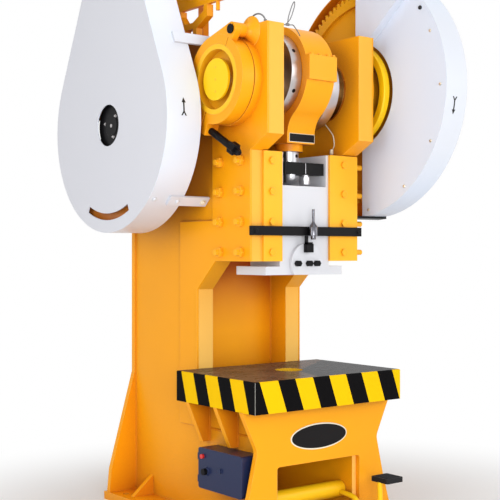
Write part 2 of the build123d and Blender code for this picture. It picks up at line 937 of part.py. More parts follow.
def ram():
    """Slide: a tall block with a bottom flange, an open pocket for the ball and a shank hole."""
    body = block((-ram_half_width, ram_half_width), (ram_front, ram_back), (ram_bottom, ram_top))
    body += block(
        (-flange_half_width, flange_half_width),
        (ram_front, ram_back),
        (ram_bottom, ram_bottom + flange_thickness),
    )
    floor = ball_height - ball_radius - ball_room
    body -= block(
        (-pocket_half_width, pocket_half_width),
        (ram_front - overrun, pocket_back),
        (floor, ram_top + overrun),
    )
    return body - along_z(Circle(shank_radius), ram_bottom - overrun, ram_bottom + shank_depth)


def shank_cap():
    """Round clamp plate on the slide's front, cut off level with its underside and bored for the set screw."""
    face = Pos(0, shank_nut_height) * Circle(shank_cap_radius)
    plate = along_y(face, ram_front - shank_cap_thickness, ram_front)
    reach = shank_cap_radius + overrun
    below = block((-reach, reach), (ram_front - reach, ram_front + reach), (ram_bottom - reach, ram_bottom))
    plate -= along_y(
        Pos(set_screw_place, set_screw_height) * Circle(set_screw_radius + sliding_clearance),
        ram_front - shank_cap_thickness - overrun,
        ram_front + overrun,
    )
    return plate - below


def shank_nuts():
    """Nuts on the studs of the clamp plate."""
    face = ram_front - shank_cap_thickness
    nuts = []
    for x in shank_nut_places:
        nut = Pos(x, shank_nut_height) * RegularPolygon(shank_nut_radius, 6)
        nuts.append(along_y(nut, face - shank_nut_length, face))
    return group(*nuts)


def set_screw():
    """Square-headed screw through the clamp plate that locks the tool's shank."""
    screw = along_y(
        Pos(set_screw_place, set_screw_height) * Circle(set_screw_radius),
        ram_front - set_screw_length,
        ram_front,
    )
    head_back = ram_front - set_screw_length
    head = Pos(set_screw_place, set_screw_height) * Rectangle(set_screw_head, set_screw_head)
    return screw + along_y(head, head_back - set_screw_head_length, head_back)


def knockout_bar():
    """Flat bar bolted across the guides."""
    return block((-bar_left, bar_right), (cover_front - bar_thickness, cover_front), (bar_low, bar_high))


def knockout_spindle():
    """Vertical stop screw on the bar's front, with a cone-shaped lock nut."""
    y = cover_front - bar_thickness - spindle_cone_radius
    rod = along_z(Pos(spindle_place, y) * Circle(spindle_radius), spindle_bottom, spindle_top)
    cone = Cone(spindle_cone_radius, spindle_radius, spindle_cone_high - spindle_cone_low)
    rod += Pos(spindle_place, y, (spindle_cone_low + spindle_cone_high) / 2) * cone
    nut = along_z(Pos(spindle_place, y) * Circle(spindle_cone_radius), bar_low, spindle_cone_low)
    return rod + nut


def countershaft():
    """Shaft behind the head that carries the flywheel and the pinion."""
    shaft = along_x(disc(countershaft_radius, countershaft_y, countershaft_z), -countershaft_left, gear_left)
    return shaft + along_x(disc(pinion_seat_radius, countershaft_y, countershaft_z), gear_left, gear_right)


def pinion():
    """Small spur gear in mesh with the large one."""
    teeth = tooth_outline(pinion_teeth, 3, mesh_angle() + 180, countershaft_y, countershaft_z)
    teeth -= disc(pinion_seat_radius + press_gap, countershaft_y, countershaft_z)
    return along_x(teeth, gear_left, gear_right)


def belt_section(width_change, depth_change):
    """Half top width, half foot width and depth of a belt or of its groove."""
    top = belt_width / 2 + width_change
    return top, belt_width * belt_foot_share / 2 + width_change, belt_depth + depth_change


def belt_places(left, width):
    """Middles of the belts along X inside a wheel's rim, which runs right from -left."""
    middle = -left + width / 2
    return [middle + (i - (belt_count - 1) / 2) * belt_pitch for i in range(belt_count)]


def cut_grooves(wheel, radius, y, z):
    """Cuts the V grooves of the belts into a wheel's rim."""
    top, foot, depth = belt_section(groove_clearance, groove_clearance)
    slope = (top - foot) / depth
    rise = overrun
    for x in belt_places(flywheel_left, flywheel_width):
        face = outline(
            (x - foot, radius - depth),
            (x + foot, radius - depth),
            (x + top + slope * rise, radius + rise),
            (x - top - slope * rise, radius + rise),
        )
        groove = revolve(Plane.XZ * face, Axis.X)
        wheel -= Pos(0, y, z) * groove
    return wheel


def flywheel():
    """Heavy belt wheel with a deep rim, a holed web and a hub."""
    right = flywheel_left - flywheel_width
    middle = (flywheel_left + right) / 2
    web = (-middle - flywheel_web_thickness / 2, -middle + flywheel_web_thickness / 2)
    y, z = countershaft_y, countershaft_z
    rim_bore = flywheel_radius - flywheel_rim_depth
    wheel = ring(flywheel_radius, rim_bore, y, z, -flywheel_left, -right)
    wheel += along_x(disc(rim_bore + overrun, y, z), web[0], web[1])
    wheel += along_x(disc(flywheel_hub_radius, y, z), -flywheel_left, -flywheel_hub_right)
    for hole in range(flywheel_holes):
        angle = 2 * pi * hole / flywheel_holes
        place = disc(
            flywheel_hole_radius,
            y + flywheel_hole_circle * cos(angle),
            z + flywheel_hole_circle * sin(angle),
        )
        wheel -= along_x(place, web[0] - overrun, web[1] + overrun)
    wheel = cut_grooves(wheel, flywheel_radius, y, z)
    bore = disc(countershaft_radius + press_gap, y, z)
    return wheel - along_x(bore, -flywheel_left - overrun, -flywheel_hub_right + overrun)


def motor_pulley():
    """Grooved pulley on the motor's shaft, in line with the flywheel."""
    right = flywheel_left - flywheel_width
    wheel = along_x(disc(pulley_radius, motor_y, motor_height), -flywheel_left, -right)
    wheel = cut_grooves(wheel, pulley_radius, motor_y, motor_height)
    bore = disc(pulley_bore + press_gap, motor_y, motor_height)
    return wheel - along_x(bore, -flywheel_left - overrun, -right + overrun)


def motor_shaft():
    """Motor's rotor shaft."""
    inner_end = -motor_left + motor_bell_length - sliding_clearance
    return along_x(disc(pulley_bore, motor_y, motor_height), -motor_shaft_left, inner_end)


def two_circle_hull(radius, top_radius):
    """Teardrop outline round the flywheel and the motor pulley."""
    low = disc(radius, countershaft_y, countershaft_z)
    high = disc(top_radius, motor_y, motor_height)
    return make_hull(low.edges() + high.edges())


def v_belts():
    """Endless V-shaped belts round the flywheel and the motor pulley."""
    top, foot, depth = belt_section(0, 0)
    outer = two_circle_hull(flywheel_radius + belt_stand, pulley_radius + belt_stand)
    low = belt_stand - depth
    inner = two_circle_hull(flywheel_radius + low, pulley_radius + low)
    edge = two_circle_hull(flywheel_radius + belt_stand - belt_edge, pulley_radius + belt_stand - belt_edge)
    belts = []
    for x in belt_places(flywheel_left, flywheel_width):
        belt = along_x(outer - inner, x - top, x + top)
        for side in (-1, 1):
            bevel = [Plane.YZ.offset(x + side * foot) * inner, Plane.YZ.offset(x + side * top) * edge]
            belt -= loft(bevel, ruled=True)
        belts.append(belt)
    return group(*belts)


def motor_housing():
    """Finned motor frame with end bells, feet and a terminal box."""
    left, right = -motor_left, motor_right
    body = along_x(disc(motor_radius, motor_y, motor_height), left, right)
    for fin in range(fin_count):
        angle = 360 * fin / fin_count
        reach = motor_radius + fin_height
        bar = Pos(motor_y + reach / 2, motor_height) * Rectangle(reach, fin_thickness)
        bar = along_x(bar, left + motor_bell_length, right - motor_bell_length)
        body += turned(bar, angle, motor_y, motor_height)
    for low in (left, right - motor_bell_length):
        body += along_x(disc(motor_bell_radius, motor_y, motor_height), low, low + motor_bell_length)
    for x in (left + motor_foot_inset, right - motor_foot_inset - motor_foot_width):
        foot = outline(
            (motor_y - motor_foot_half_depth, platform_top),
            (motor_y + motor_foot_half_depth, platform_top),
            (motor_y + motor_foot_half_depth, platform_top + motor_foot_thickness),
            (motor_y + motor_radius * sin(radians(45)), motor_height - motor_radius * cos(radians(45))),
            (motor_y - motor_radius * sin(radians(45)), motor_height - motor_radius * cos(radians(45))),
            (motor_y - motor_foot_half_depth, platform_top + motor_foot_thickness),
        )
        body += along_x(foot, x, x + motor_foot_width)
    middle = (left + right) / 2
    half = terminal_box_size / 2
    body += block(
        (middle - half, middle + half),
        (motor_y - half, motor_y + half),
        (motor_height + motor_radius - overrun, motor_height + motor_bell_radius + terminal_box_height),
    )
    bore = disc(pulley_bore + running_clearance, motor_y, motor_height)
    return body - along_x(bore, left - overrun, left + motor_bell_length)


def fan_cover():
    """Pressed cover over the motor's fan."""
    face = Plane.YZ.offset(motor_right) * disc(motor_bell_radius, motor_y, motor_height)
    far = Plane.YZ.offset(motor_right + fan_cover_length) * disc(
        motor_bell_radius - fan_cover_taper, motor_y, motor_height
    )
    cover = loft([face, far])
    inner = motor_bell_radius - fan_cover_taper - fan_cover_wall
    end = motor_right + fan_cover_length - fan_cover_wall
    return cover - along_x(disc(inner, motor_y, motor_height), motor_right - overrun, end)


def motor_platform():
    """Thick plate that carries the motor, on a deep rail along its left edge."""
    depth = (platform_front, platform_back)
    plate = block((-frame_half_width, platform_right), depth, (platform_bottom, platform_top))
    rail = block((-frame_half_width, -frame_half_width + rail_thickness), depth, (rail_bottom, platform_bottom))
    return plate + rail


def motor_forks():
    """Forked support under the platform's rail, with plain posts and a hanging bolt."""
    half = fork_bar / 2
    legs = Sketch()
    for y in (fork_front_leg, fork_back_leg):
        legs += outline(
            (y - half, frame_top),
            (y + half, frame_top),
            (y + half, fork_cross_height + half),
            (y - half, fork_cross_height + half),
        )
    legs += outline(
        (fork_front_leg, fork_cross_height - half),
        (fork_back_leg, fork_cross_height - half),
        (fork_back_leg, fork_cross_height + half),
        (fork_front_leg, fork_cross_height + half),
    )
    for leg, arm, side in ((fork_front_leg, fork_front_arm, -1), (fork_back_leg, fork_back_arm, 1)):
        legs += outline(
            (leg + side * half, fork_cross_height - half),
            (leg - side * half, fork_cross_height + half),
            (arm - side * half, fork_bend + half),
            (arm - side * half, rail_bottom),
            (arm + side * half, rail_bottom),
            (arm + side * half, fork_bend - half),
        )
    width = (-frame_half_width, -frame_half_width + fork_thickness)
    fork = along_x(legs, *width)
    depth = (post_front, post_front + post_depth)
    post = block(width, depth, (frame_top, rail_bottom))
    centre_width = (centre_post_right - fork_thickness, centre_post_right)
    centre_post = block(centre_width, depth, (frame_top, platform_bottom))
    bolt = along_z(
        Pos(-frame_half_width + rail_thickness / 2, hanging_bolt_y) * Circle(hanging_bolt_radius),
        rail_bottom - hanging_bolt_length,
        rail_bottom,
    )
    return group(fork, post, centre_post, bolt)


def belt_guard():
    """Sheet-metal teardrop cover over the flywheel and the belts, open towards the frame."""
    shell = along_x(two_circle_hull(guard_radius, guard_top_radius), -guard_outer, -guard_inner)
    inside = two_circle_hull(guard_radius - guard_wall, guard_top_radius - guard_wall)
    shell -= along_x(inside, -guard_outer + guard_wall, -guard_inner + overrun)
    y, z = countershaft_y, countershaft_z
    cut_end = -guard_outer + guard_wall + overrun
    shell -= along_x(disc(guard_hole_radius, y, z), -guard_outer - overrun, cut_end)
    half = slot_width / 2
    sector = disc(slot_radius + half, y, z) - disc(slot_radius - half, y, z)
    reach = 2 * slot_radius
    spread = reach * tan(radians(slot_half_angle))
    sector &= outline((y, z), (y - spread, z - reach), (y + spread, z - reach))
    return shell - along_x(sector, -guard_outer - overrun, cut_end)


def guard_bar(angle, radius, y, z):
    """A flat bar along X that lies on the guard's rim and ends on the side plate."""
    bar = Pos(y + radius + guard_bar_thickness / 2, z) * Rectangle(guard_bar_thickness, guard_bar_width)
    bar = along_x(bar, -guard_inner - guard_bar_overlap, -plate_outer)
    return turned(bar, angle, y, z)


def guard_bars():
    """Bars that hold the belt guard."""
    y, z = countershaft_y, countershaft_z
    reach = hypot(motor_y - y, motor_height - z)
    lean = degrees(atan2(motor_height - z, motor_y - y))
    taper = guard_radius - guard_top_radius
    side = lean + degrees(atan2(sqrt(reach**2 - taper**2), taper))
    n_y, n_z = cos(radians(side)), sin(radians(side))
    along = (high_bar_height - z - guard_radius * n_z) / n_y
    low = guard_bar(low_bar_angle, guard_radius, y, z)
    bar = Rectangle(guard_bar_thickness, guard_bar_width)
    bar = Pos(guard_radius + guard_bar_thickness / 2, along) * bar
    high = along_x(bar, -guard_inner - guard_bar_overlap, -plate_outer)
    high = Pos(0, y, z) * high.rotate(Axis.X, side)
    return group(low, high)


def gear_guard():
    """White front half of the gear's cover: a flat box with a window round the hub."""
    wall = gear_guard_wall
    whole = disc(gear_guard_radius, 0, crank_height)
    reach = 2 * gear_guard_radius
    half_plane = Pos(gear_guard_edge - reach / 2, crank_height) * Rectangle(reach, reach)
    shell = along_x(whole & half_plane, gear_guard_left, gear_guard_right)
    inside = disc(gear_guard_radius - wall, 0, crank_height) & (Pos(overrun, 0) * half_plane)
    shell -= along_x(inside, gear_guard_left + wall, gear_guard_right - wall)
    window = disc(gear_guard_window, 0, crank_height)
    shell -= along_x(window, gear_guard_left - overrun, gear_guard_left + wall + overrun)
    raised = outline(
        (gear_guard_edge, gear_box_foot),
        (gear_box_corner_y, gear_box_corner_z),
        (gear_box_far_y, gear_box_far_z),
        (gear_box_far_y, gear_box_far_z + reach),
        (gear_guard_edge, gear_box_far_z + reach),
    )
    raised &= whole
    return shell + along_x(raised, gear_guard_left - gear_box_raise, gear_guard_left)


def gear_guard_rear():
    """Rear half of the gear's cover, bulging round the pinion and open on the teeth's left side."""
    wall = gear_guard_wall
    reach = 4 * gear_guard_radius
    half_plane = Pos(gear_guard_edge + reach / 2, crank_height) * Rectangle(reach, reach)

    def cover(change):
        low = disc(pinion_guard_radius - change, countershaft_y, countershaft_z)
        high = disc(gear_guard_radius - change, 0, crank_height)
        return make_hull(low.edges() + high.edges())

    shell = along_x(cover(0) & half_plane, gear_guard_rear_left, gear_guard_right)
    inside = cover(wall) & (Pos(-overrun, 0) * half_plane)
    shell -= along_x(inside, gear_guard_rear_left - overrun, gear_guard_right - wall)
    return shell


def gear_guard_bars():
    """Flat bars along X from the frame to the rim of the gear's cover, the high one on an upright."""
    bars = []
    for angle in (gear_bar_high_angle, gear_bar_low_angle):
        bar = Pos(gear_guard_radius + guard_bar_thickness / 2, crank_height)
        bar = bar * Rectangle(guard_bar_thickness, guard_bar_width)
        bar = along_x(bar, frame_half_width, gear_guard_right)
        bars.append(turned(bar, angle, 0, crank_height))
    reach = gear_guard_radius + guard_bar_thickness / 2
    y = reach * cos(radians(gear_bar_high_angle))
    upright = block(
        (frame_half_width, frame_half_width + guard_bar_thickness),
        (y - guard_bar_width / 2, y + guard_bar_width / 2),
        (frame_top - gear_bar_foot_lap, crank_height + reach * sin(radians(gear_bar_high_angle))),
    )
    bars[0] += upright
    return group(*bars)


def control_box():
    """Sheet-metal box on the bed's left side, open where its door closes it."""
    low, high = -panel_outer, -plate_outer
    box_face = Pos((panel_front + panel_back) / 2, (panel_low + panel_high) / 2) * RectangleRounded(
        panel_back - panel_front, panel_high - panel_low, panel_radius
    )
    hollow = Pos((panel_front + panel_back) / 2, (panel_low + panel_high) / 2) * RectangleRounded(
        panel_back - panel_front - 2 * panel_wall,
        panel_high - panel_low - 2 * panel_wall,
        panel_radius - panel_wall,
    )
    return along_x(box_face, low, high) - along_x(hollow, low - overrun, high - panel_wall)


def panel_door():
    """Door of the control box with collars for its button and its lock."""
    high = -panel_outer - panel_door_gap
    low = high - panel_door_thickness
    face = Pos((panel_front + panel_back) / 2, (panel_low + panel_high) / 2) * RectangleRounded(
        panel_back - panel_front, panel_high - panel_low, panel_radius
    )
    door = along_x(face, low, high)
    door += along_x(disc(lock_radius, lock_y, lock_z), low - lock_length, low)
    door += along_x(disc(button_collar_radius, button_y, button_z), low - button_collar_length, low)
    bore = disc(button_radius + sliding_clearance, button_y, button_z)
    return door - along_x(bore, low - button_collar_length - overrun, high + overrun)


def panel_button():
    """Push button in the door's collar."""
    face = -panel_outer - panel_door_gap - panel_door_thickness - button_collar_length
    return along_x(disc(button_radius, button_y, button_z), face - button_length, face + button_travel)


def panel_lamp():
    """Small signal lamp on the door."""
    low = -panel_outer - panel_door_gap - panel_door_thickness
    return along_x(disc(lamp_radius, lamp_y, lamp_z), low - lamp_length, low)


def pedal_shaft():
    """Cross tube of the pedal with end plugs that turn in the side plates."""
    end = plate_inner - pedal_side_gap
    bore = pedal_tube_radius - pedal_tube_wall
    tube = ring(pedal_tube_radius, bore, pedal_axis_y, pedal_axis_z, -end, end)
    plug = along_x(disc(bore, pedal_axis_y, pedal_axis_z), end - pedal_pin_length, end)
    plug += along_x(disc(pedal_pin_radius, pedal_axis_y, pedal_axis_z), end, plate_inner + pedal_pin_length)
    return tube + plug + other_side(plug)


def pedal_lever():
    """Welded lever: a bar forward through the window, a cross bar and a post under the pad."""
    half = pedal_bar / 2
    z = (pedal_axis_z - half, pedal_axis_z + half)
    lever = block(
        (pedal_bar_x - half, pedal_bar_x + half), (pedal_bar_front - half, pedal_axis_y), z
    )
    depth = (pedal_bar_front - half, pedal_bar_front + half)
    lever += block((pedal_bar_x - half, pedal_pad_x + half), depth, z)
    lever += block(
        (pedal_pad_x - half, pedal_pad_x + half),
        (pedal_bar_front - half, pedal_bar_front + half),
        (z[0], pedal_pad_top - pedal_pad_thickness),
    )
    tube = disc(pedal_tube_radius + press_gap, pedal_axis_y, pedal_axis_z)
    return lever - along_x(tube, -plate_inner, plate_inner)


def pedal_pad():
    """Rubber-faced tread on the pedal's post."""
    face = RectangleRounded(pedal_pad_width, pedal_pad_depth, pedal_pad_radius)
    face = Pos(pedal_pad_x, pedal_bar_front) * face
    return along_z(face, pedal_pad_top - pedal_pad_thickness, pedal_pad_top)


def grease_pipe():
    """Bent pipe over one cheek, with a nut at each end."""
    x = frame_half_width - pipe_inset
    middle = (pipe_front + pipe_back) / 2
    base = frame_top + pipe_nut_length
    path = ThreePointArc((x, pipe_front, base), (x, middle, base + pipe_rise), (x, pipe_back, base))
    section = Plane(path @ 0, z_dir=path % 0) * Circle(pipe_radius)
    pipe = sweep(section, path=path)
    solids = [pipe]
    for y in (pipe_front, pipe_back):
        solids.append(along_z(Pos(x, y) * RegularPolygon(pipe_nut_radius, 6), frame_top, base))
    return solids


nodes = {
    "side_plate_left": other_side(side_plate()),
    "side_plate_right": side_plate(),
    "side_doublers": group(side_doubler(), other_side(side_doubler())),
    "throat_web": block(
        (-plate_inner, plate_inner), (web_front, web_front + web_thickness), (foot_thickness, web_top)
    ),
    "head_plates": head_plates(),
    "rear_plate": rear_plate(),
    "base_front_plate": base_front_plate(),
    "foot_plates": foot_plates(),
    "base_ribs": base_ribs(),
    "bolster_plate": bolster_plate(),
    "gib_left": other_side(gib()),
    "gib_right": gib(),
    "gib_covers": gib_covers(),
    "gib_bolts": gib_bolts(),
    "crank_bushes": group(crank_bush(), other_side(crank_bush())),
    "bearing_bosses": group(bearing_boss(), other_side(bearing_boss())),
    "countershaft_bearings": group(countershaft_bearing(), other_side(countershaft_bearing())),
    "crankshaft": crankshaft(),
    "bull_gear": bull_gear(),
    "gear_cap": gear_cap(),
    "brake_drum": brake_drum(),
    "brake_hub_plate": brake_hub_plate(),
    "brake_shoe_front": brake_shoe(True),
    "brake_shoe_rear": brake_shoe(False),
    "brake_pin": brake_pin(),
    "brake_stud": brake_stud(),
    "brake_nut": brake_nut(),
    "pitman": pitman(),
    "pitman_bush": pitman_bush(),
    "adjusting_screw": adjusting_screw(),
    "screw_clamp": screw_clamp(),
    "ram": ram(),
    "shank_cap": shank_cap(),
    "shank_nuts": shank_nuts(),
    "set_screw": set_screw(),
    "knockout_bar": knockout_bar(),
    "knockout_spindle": knockout_spindle(),
    "countershaft": countershaft(),
    "flywheel": flywheel(),
    "pinion": pinion(),
    "v_belts": v_belts(),
    "motor_housing": motor_housing(),
    "fan_cover": fan_cover(),
    "motor_shaft": motor_shaft(),
    "motor_pulley": motor_pulley(),
    "motor_platform": motor_platform(),
    "motor_forks": motor_forks(),
    "belt_guard": belt_guard(),
    "guard_bars": guard_bars(),
    "gear_guard": gear_guard(),
    "gear_guard_rear": gear_guard_rear(),
    "gear_guard_bars": gear_guard_bars(),
    "control_box": control_box(),
    "panel_door": panel_door(),
    "panel_button": panel_button(),
    "panel_lamp": panel_lamp(),
    "grease_pipes": group(*[other_side(piece) for piece in grease_pipe()]),
    "pedal_shaft": pedal_shaft(),
    "pedal_lever": pedal_lever(),
    "pedal_pad": pedal_pad(),
}

os.makedirs("parts", exist_ok=True)
for name, piece in nodes.items():
    export_step(piece, os.path.join("parts", name + ".step"))
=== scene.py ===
from math import acos, cos, pi, radians, sin

import bmesh
import bpy
from mathutils import Matrix, Vector


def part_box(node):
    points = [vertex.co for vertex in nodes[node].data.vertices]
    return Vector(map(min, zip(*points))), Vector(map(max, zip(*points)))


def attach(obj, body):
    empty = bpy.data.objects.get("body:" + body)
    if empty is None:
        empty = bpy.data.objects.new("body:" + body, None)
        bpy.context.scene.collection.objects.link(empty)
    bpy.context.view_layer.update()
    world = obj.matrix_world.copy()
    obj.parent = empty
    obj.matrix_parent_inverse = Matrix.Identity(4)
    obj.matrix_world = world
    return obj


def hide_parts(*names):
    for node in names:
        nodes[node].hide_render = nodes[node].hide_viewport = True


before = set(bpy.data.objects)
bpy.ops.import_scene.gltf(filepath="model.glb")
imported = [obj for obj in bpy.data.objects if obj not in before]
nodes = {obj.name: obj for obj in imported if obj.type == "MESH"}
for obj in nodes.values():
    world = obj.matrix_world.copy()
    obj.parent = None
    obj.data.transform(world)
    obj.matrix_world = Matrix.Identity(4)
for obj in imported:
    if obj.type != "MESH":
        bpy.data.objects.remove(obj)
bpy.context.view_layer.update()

# Studio: the camera stands in front of the press and to its left, level, at the height of its throat.
# A pale round floor fades into a white surround. Large soft lamps stand in front, to the left and above.
camera_place = (-3.714, -4.4542, 1.4451)
camera_heading = radians(-37.74)
camera_lens = 77.165
camera_shift = 0.0045
floor_radius = 14.0
floor_fade = (1.0, 2.8)
floor_grey = 0.92
floor_roughness = 0.9
sky_light = 0.52
lamps = (
    ("front_lamp", (3.5, -4.5, 3.0), (0, 0, 1.6), 2.6, 55),
    ("low_lamp", (-3.4, -5.9, 1.6), (0, 0, 1.5), 3.0, 246),
    ("left_lamp", (-6.3, -0.9, 3.0), (0, 0.2, 1.5), 3.2, 88),
    ("top_lamp", (0.4, -0.9, 7.0), (0, 0.2, 1.5), 3.0, 70),
)


class Shade:
    """One socket of a node tree. Sums of shades and numbers add Math nodes to that tree."""

    def __init__(self, tree, socket=None):
        self.tree = tree
        self.socket = socket

    def node(self, kind, settings=None, sockets=None, output=0):
        """Adds a node: its settings first, then the values or links of its sockets."""
        made = self.tree.nodes.new("ShaderNode" + kind)
        for name, value in (settings or {}).items():
            setattr(made, name, value)
        for name, value in (sockets or {}).items():
            if isinstance(value, Shade):
                self.tree.links.new(value.socket, made.inputs[name])
            else:
                made.inputs[name].default_value = value
        return Shade(self.tree, made.outputs[output])

    def math(self, operation, *values):
        """A Math node of this tree on shades and numbers."""
        return self.node("Math", {"operation": operation}, dict(enumerate(values)))

    def feed(self, shader, socket):
        """Links this shade to a shader's socket."""
        self.tree.links.new(self.socket, shader.inputs[socket])

    def __add__(self, other):
        return self.math("ADD", self, other)

    def __sub__(self, other):
        return self.math("SUBTRACT", self, other)

    def __rsub__(self, other):
        return self.math("SUBTRACT", other, self)

    def __mul__(self, other):
        return self.math("MULTIPLY", self, other)

    def __truediv__(self, other):
        return self.math("DIVIDE", self, other)

    def __rtruediv__(self, other):
        return self.math("DIVIDE", other, self)

    def __lt__(self, other):
        return self.math("LESS_THAN", self, other)

    def __gt__(self, other):
        return self.math("GREATER_THAN", self, other)

    __radd__ = __add__
    __rmul__ = __mul__


def link_object(thing):
    """Puts a new object into the scene."""
    bpy.context.scene.collection.objects.link(thing)
    return thing


def soft_lamp(name, place, aim, size, power):
    """Square area lamp that looks at a point."""
    lamp = bpy.data.lights.new(name, "AREA")
    lamp.size = size
    lamp.energy = power
    stand = link_object(bpy.data.objects.new(name, lamp))
    stand.location = place
    stand.rotation_euler = (Vector(aim) - Vector(place)).to_track_quat("-Z", "Y").to_euler()


def seen_rays(start):
    """One for rays that show the surround itself: straight, mirrored or through something clear."""
    kinds = ("Is Camera Ray", "Is Glossy Ray", "Is Transmission Ray")
    straight, mirrored, clear = (start.node("LightPath", output=name) for name in kinds)
    return straight.math("MAXIMUM", straight.math("MAXIMUM", straight, mirrored), clear)


camera = bpy.data.cameras.new("camera")
camera.lens = camera_lens
camera.shift_y = camera_shift
tripod = link_object(bpy.data.objects.new("camera", camera))
tripod.location = camera_place
tripod.rotation_euler = (pi / 2, 0, camera_heading)
bpy.context.scene.camera = tripod
bpy.context.scene.view_settings.view_transform = "Standard"

world = bpy.data.worlds.new("surround")
world.use_nodes = True
bpy.context.scene.world = world
start = Shade(world.node_tree)
sky = world.node_tree.nodes["Background"]
sky.inputs["Color"].default_value = (1, 1, 1, 1)
(seen_rays(start) * (1 - sky_light) + sky_light).feed(sky, "Strength")

for name, place, aim, size, power in lamps:
    soft_lamp(name, place, aim, size, power)

mesh = bpy.data.meshes.new("floor")
disc = bmesh.new()
bmesh.ops.create_circle(disc, cap_ends=True, segments=96, radius=floor_radius)
disc.to_mesh(mesh)
disc.free()
floor = link_object(bpy.data.objects.new("floor", mesh))
material = bpy.data.materials.new("pale_floor")
material.use_nodes = True
tree = material.node_tree
shader = tree.nodes["Principled BSDF"]
shader.inputs["Base Color"].default_value = (floor_grey, floor_grey, floor_grey, 1)
shader.inputs["Roughness"].default_value = floor_roughness
start = Shade(tree)
place = start.node("TexCoord", output="Object")
away = start.node("VectorMath", {"operation": "LENGTH"}, {0: place}, "Value")
fading = {"Value": away, "From Min": floor_fade[0], "From Max": floor_fade[1]}
fade = start.node("MapRange", {"interpolation_type": "SMOOTHSTEP"}, fading)
white = start.node("Emission", {}, {"Strength": 1.0})
lit = Shade(tree, shader.outputs["BSDF"])
mixed = start.node("MixShader", {}, {0: fade * seen_rays(start), 1: lit, 2: white})
tree.links.new(mixed.socket, tree.nodes["Material Output"].inputs["Surface"])
mesh.materials.append(material)

# Frame: thick steel plates, flame cut and welded into a C, sprayed all over with one amber enamel.
# The paint has a faint orange peel, a painted highlight on its edges and painted shade in its corners.
amber = (249, 166, 10)
amber_shade = (168, 62, 14)
amber_highlight = (255, 204, 104)
# Side plates: the brown of their painted shade, the heights of their painted front light, and how far each
# one's painted shade reaches.
plate_shadow_brown = (112, 44, 24)
plate_front_light = (1.5, 0.85)
plate_shade = {"left": 0.7, "right": 0.28}
web_amber = (255, 171, 10)
# Heights over which the throat's web gets painted shade, for the shade under the head.
web_shade_heights = (1.0, 1.5)


def linear(colour):
    """A screen colour, 0 to 255, as the light values that a shader takes."""
    parts = [part / 255 for part in colour]
    return (*[part / 12.92 if part < 0.04045 else ((part + 0.055) / 1.055) ** 2.4 for part in parts], 1)


def finish(name, plain):
    """A material with one Principled shader, whose plain values are set by socket."""
    material = bpy.data.materials.new(name)
    material.use_nodes = True
    shader = material.node_tree.nodes["Principled BSDF"]
    for socket, value in plain.items():
        shader.inputs[socket].default_value = value
    return material, shader, Shade(material.node_tree)


def tint(share, low, high):
    """A colour between two others, by a share."""
    return share.node("Mix", {"data_type": "RGBA"}, {"Factor": share, 6: low, 7: high}, 2)


def span(value, low, high, start=0.0, end=1.0):
    """A value's way from low to high, as a share that stays between start and end."""
    sockets = {"Value": value, "From Min": low, "From Max": high, "To Min": start, "To Max": end}
    return value.node("MapRange", {}, sockets)


def noise(place, scale, detail=2.0):
    """Cloudy values about one half, with so many lumps to the metre."""
    return place.node("TexNoise", {}, {"Vector": place, "Scale": scale, "Detail": detail})


def enamel(
    name, colour, deep, edge, gloss=0.38, shine=0.25, roundness=0.003, shade_heights=None, front_light_heights=None, reach=0.28
):
    """Sprayed enamel: painted shade in the corners, a painted highlight on the edges, orange peel and
    rounded corners.

    The deep colour is that painted shade and the edge colour that painted highlight. One pair of heights
    adds painted shade that grows upward, another gives the front faces between them a painted lighter
    tone for the light on them, and reach is how far the painted shade of a corner goes.
    """
    material, shader, start = finish(name, {"Specular IOR Level": shine})
    place = start.node("TexCoord", output="Object")
    normal = start.node("NewGeometry", output="Normal")
    rounded = start.node("Bevel", {"samples": 4}, {"Radius": roundness})
    corner = start.node("AmbientOcclusion", {"samples": 4}, {"Distance": reach}, "AO")
    edges = 1 - start.node("VectorMath", {"operation": "DOT_PRODUCT"}, {0: rounded, 1: normal}, "Value")
    # Painted shade: corners found by ambient occlusion turn towards the deep colour, with a slow random
    # drift of tone.
    depth = span(corner, 0.15, 0.7, 0.75, 0.0) + span(noise(place, 1.6, 3.0), 0.45, 0.75, 0.0, 0.06)
    height = start.node("SeparateXYZ", {}, {0: place}, "Z")
    # Painted shade that grows upward between the given heights.
    if shade_heights:
        depth = depth + span(height, *shade_heights, 0.0, 0.9)
    painted = tint(depth, linear(colour), linear(deep))
    # Painted light: front faces turn lighter, towards the edge colour.
    if front_light_heights:
        front = span(start.node("SeparateXYZ", {}, {0: normal}, "Y"), -0.6, -0.9)
        painted = tint(front * span(height, *front_light_heights, 0.3, 0.85), painted, linear(edge))
    # Painted highlight: rounded edges turn towards the edge colour.
    painted = tint(span(edges, 0.02, 0.2, 0.0, 0.6), painted, linear(edge))
    painted.feed(shader, "Base Color")
    span(noise(place, 3.0, 2.0), 0.3, 0.7, gloss - 0.02, gloss + 0.03).feed(shader, "Roughness")
    skin = noise(place, 240.0) * 0.12
    peel = {"Strength": 0.05, "Distance": 0.002, "Height": skin, "Normal": rounded}
    start.node("Bump", {}, peel).feed(shader, "Normal")
    return material


def dress(material, *names):
    """Gives CAD pieces their finish."""
    for name in names:
        nodes[name].data.materials.clear()
        nodes[name].data.materials.append(material)


frame_paint = enamel("amber_enamel", amber, amber_shade, amber_highlight)
dress(
    frame_paint, "side_doublers", "head_plates", "rear_plate", "base_front_plate", "foot_plates",
    "base_ribs", "bearing_bosses", "motor_platform", "motor_forks",
)
# Painted light and shade: the side plates' front faces are painted lighter, and the left plate's longer
# reach paints the belt cover's shadow on it.
for side, reach in plate_shade.items():
    paint = enamel("plate_enamel_" + side, amber, plate_shadow_brown, amber_highlight, front_light_heights=plate_front_light, reach=reach)
    dress(paint, "side_plate_" + side)
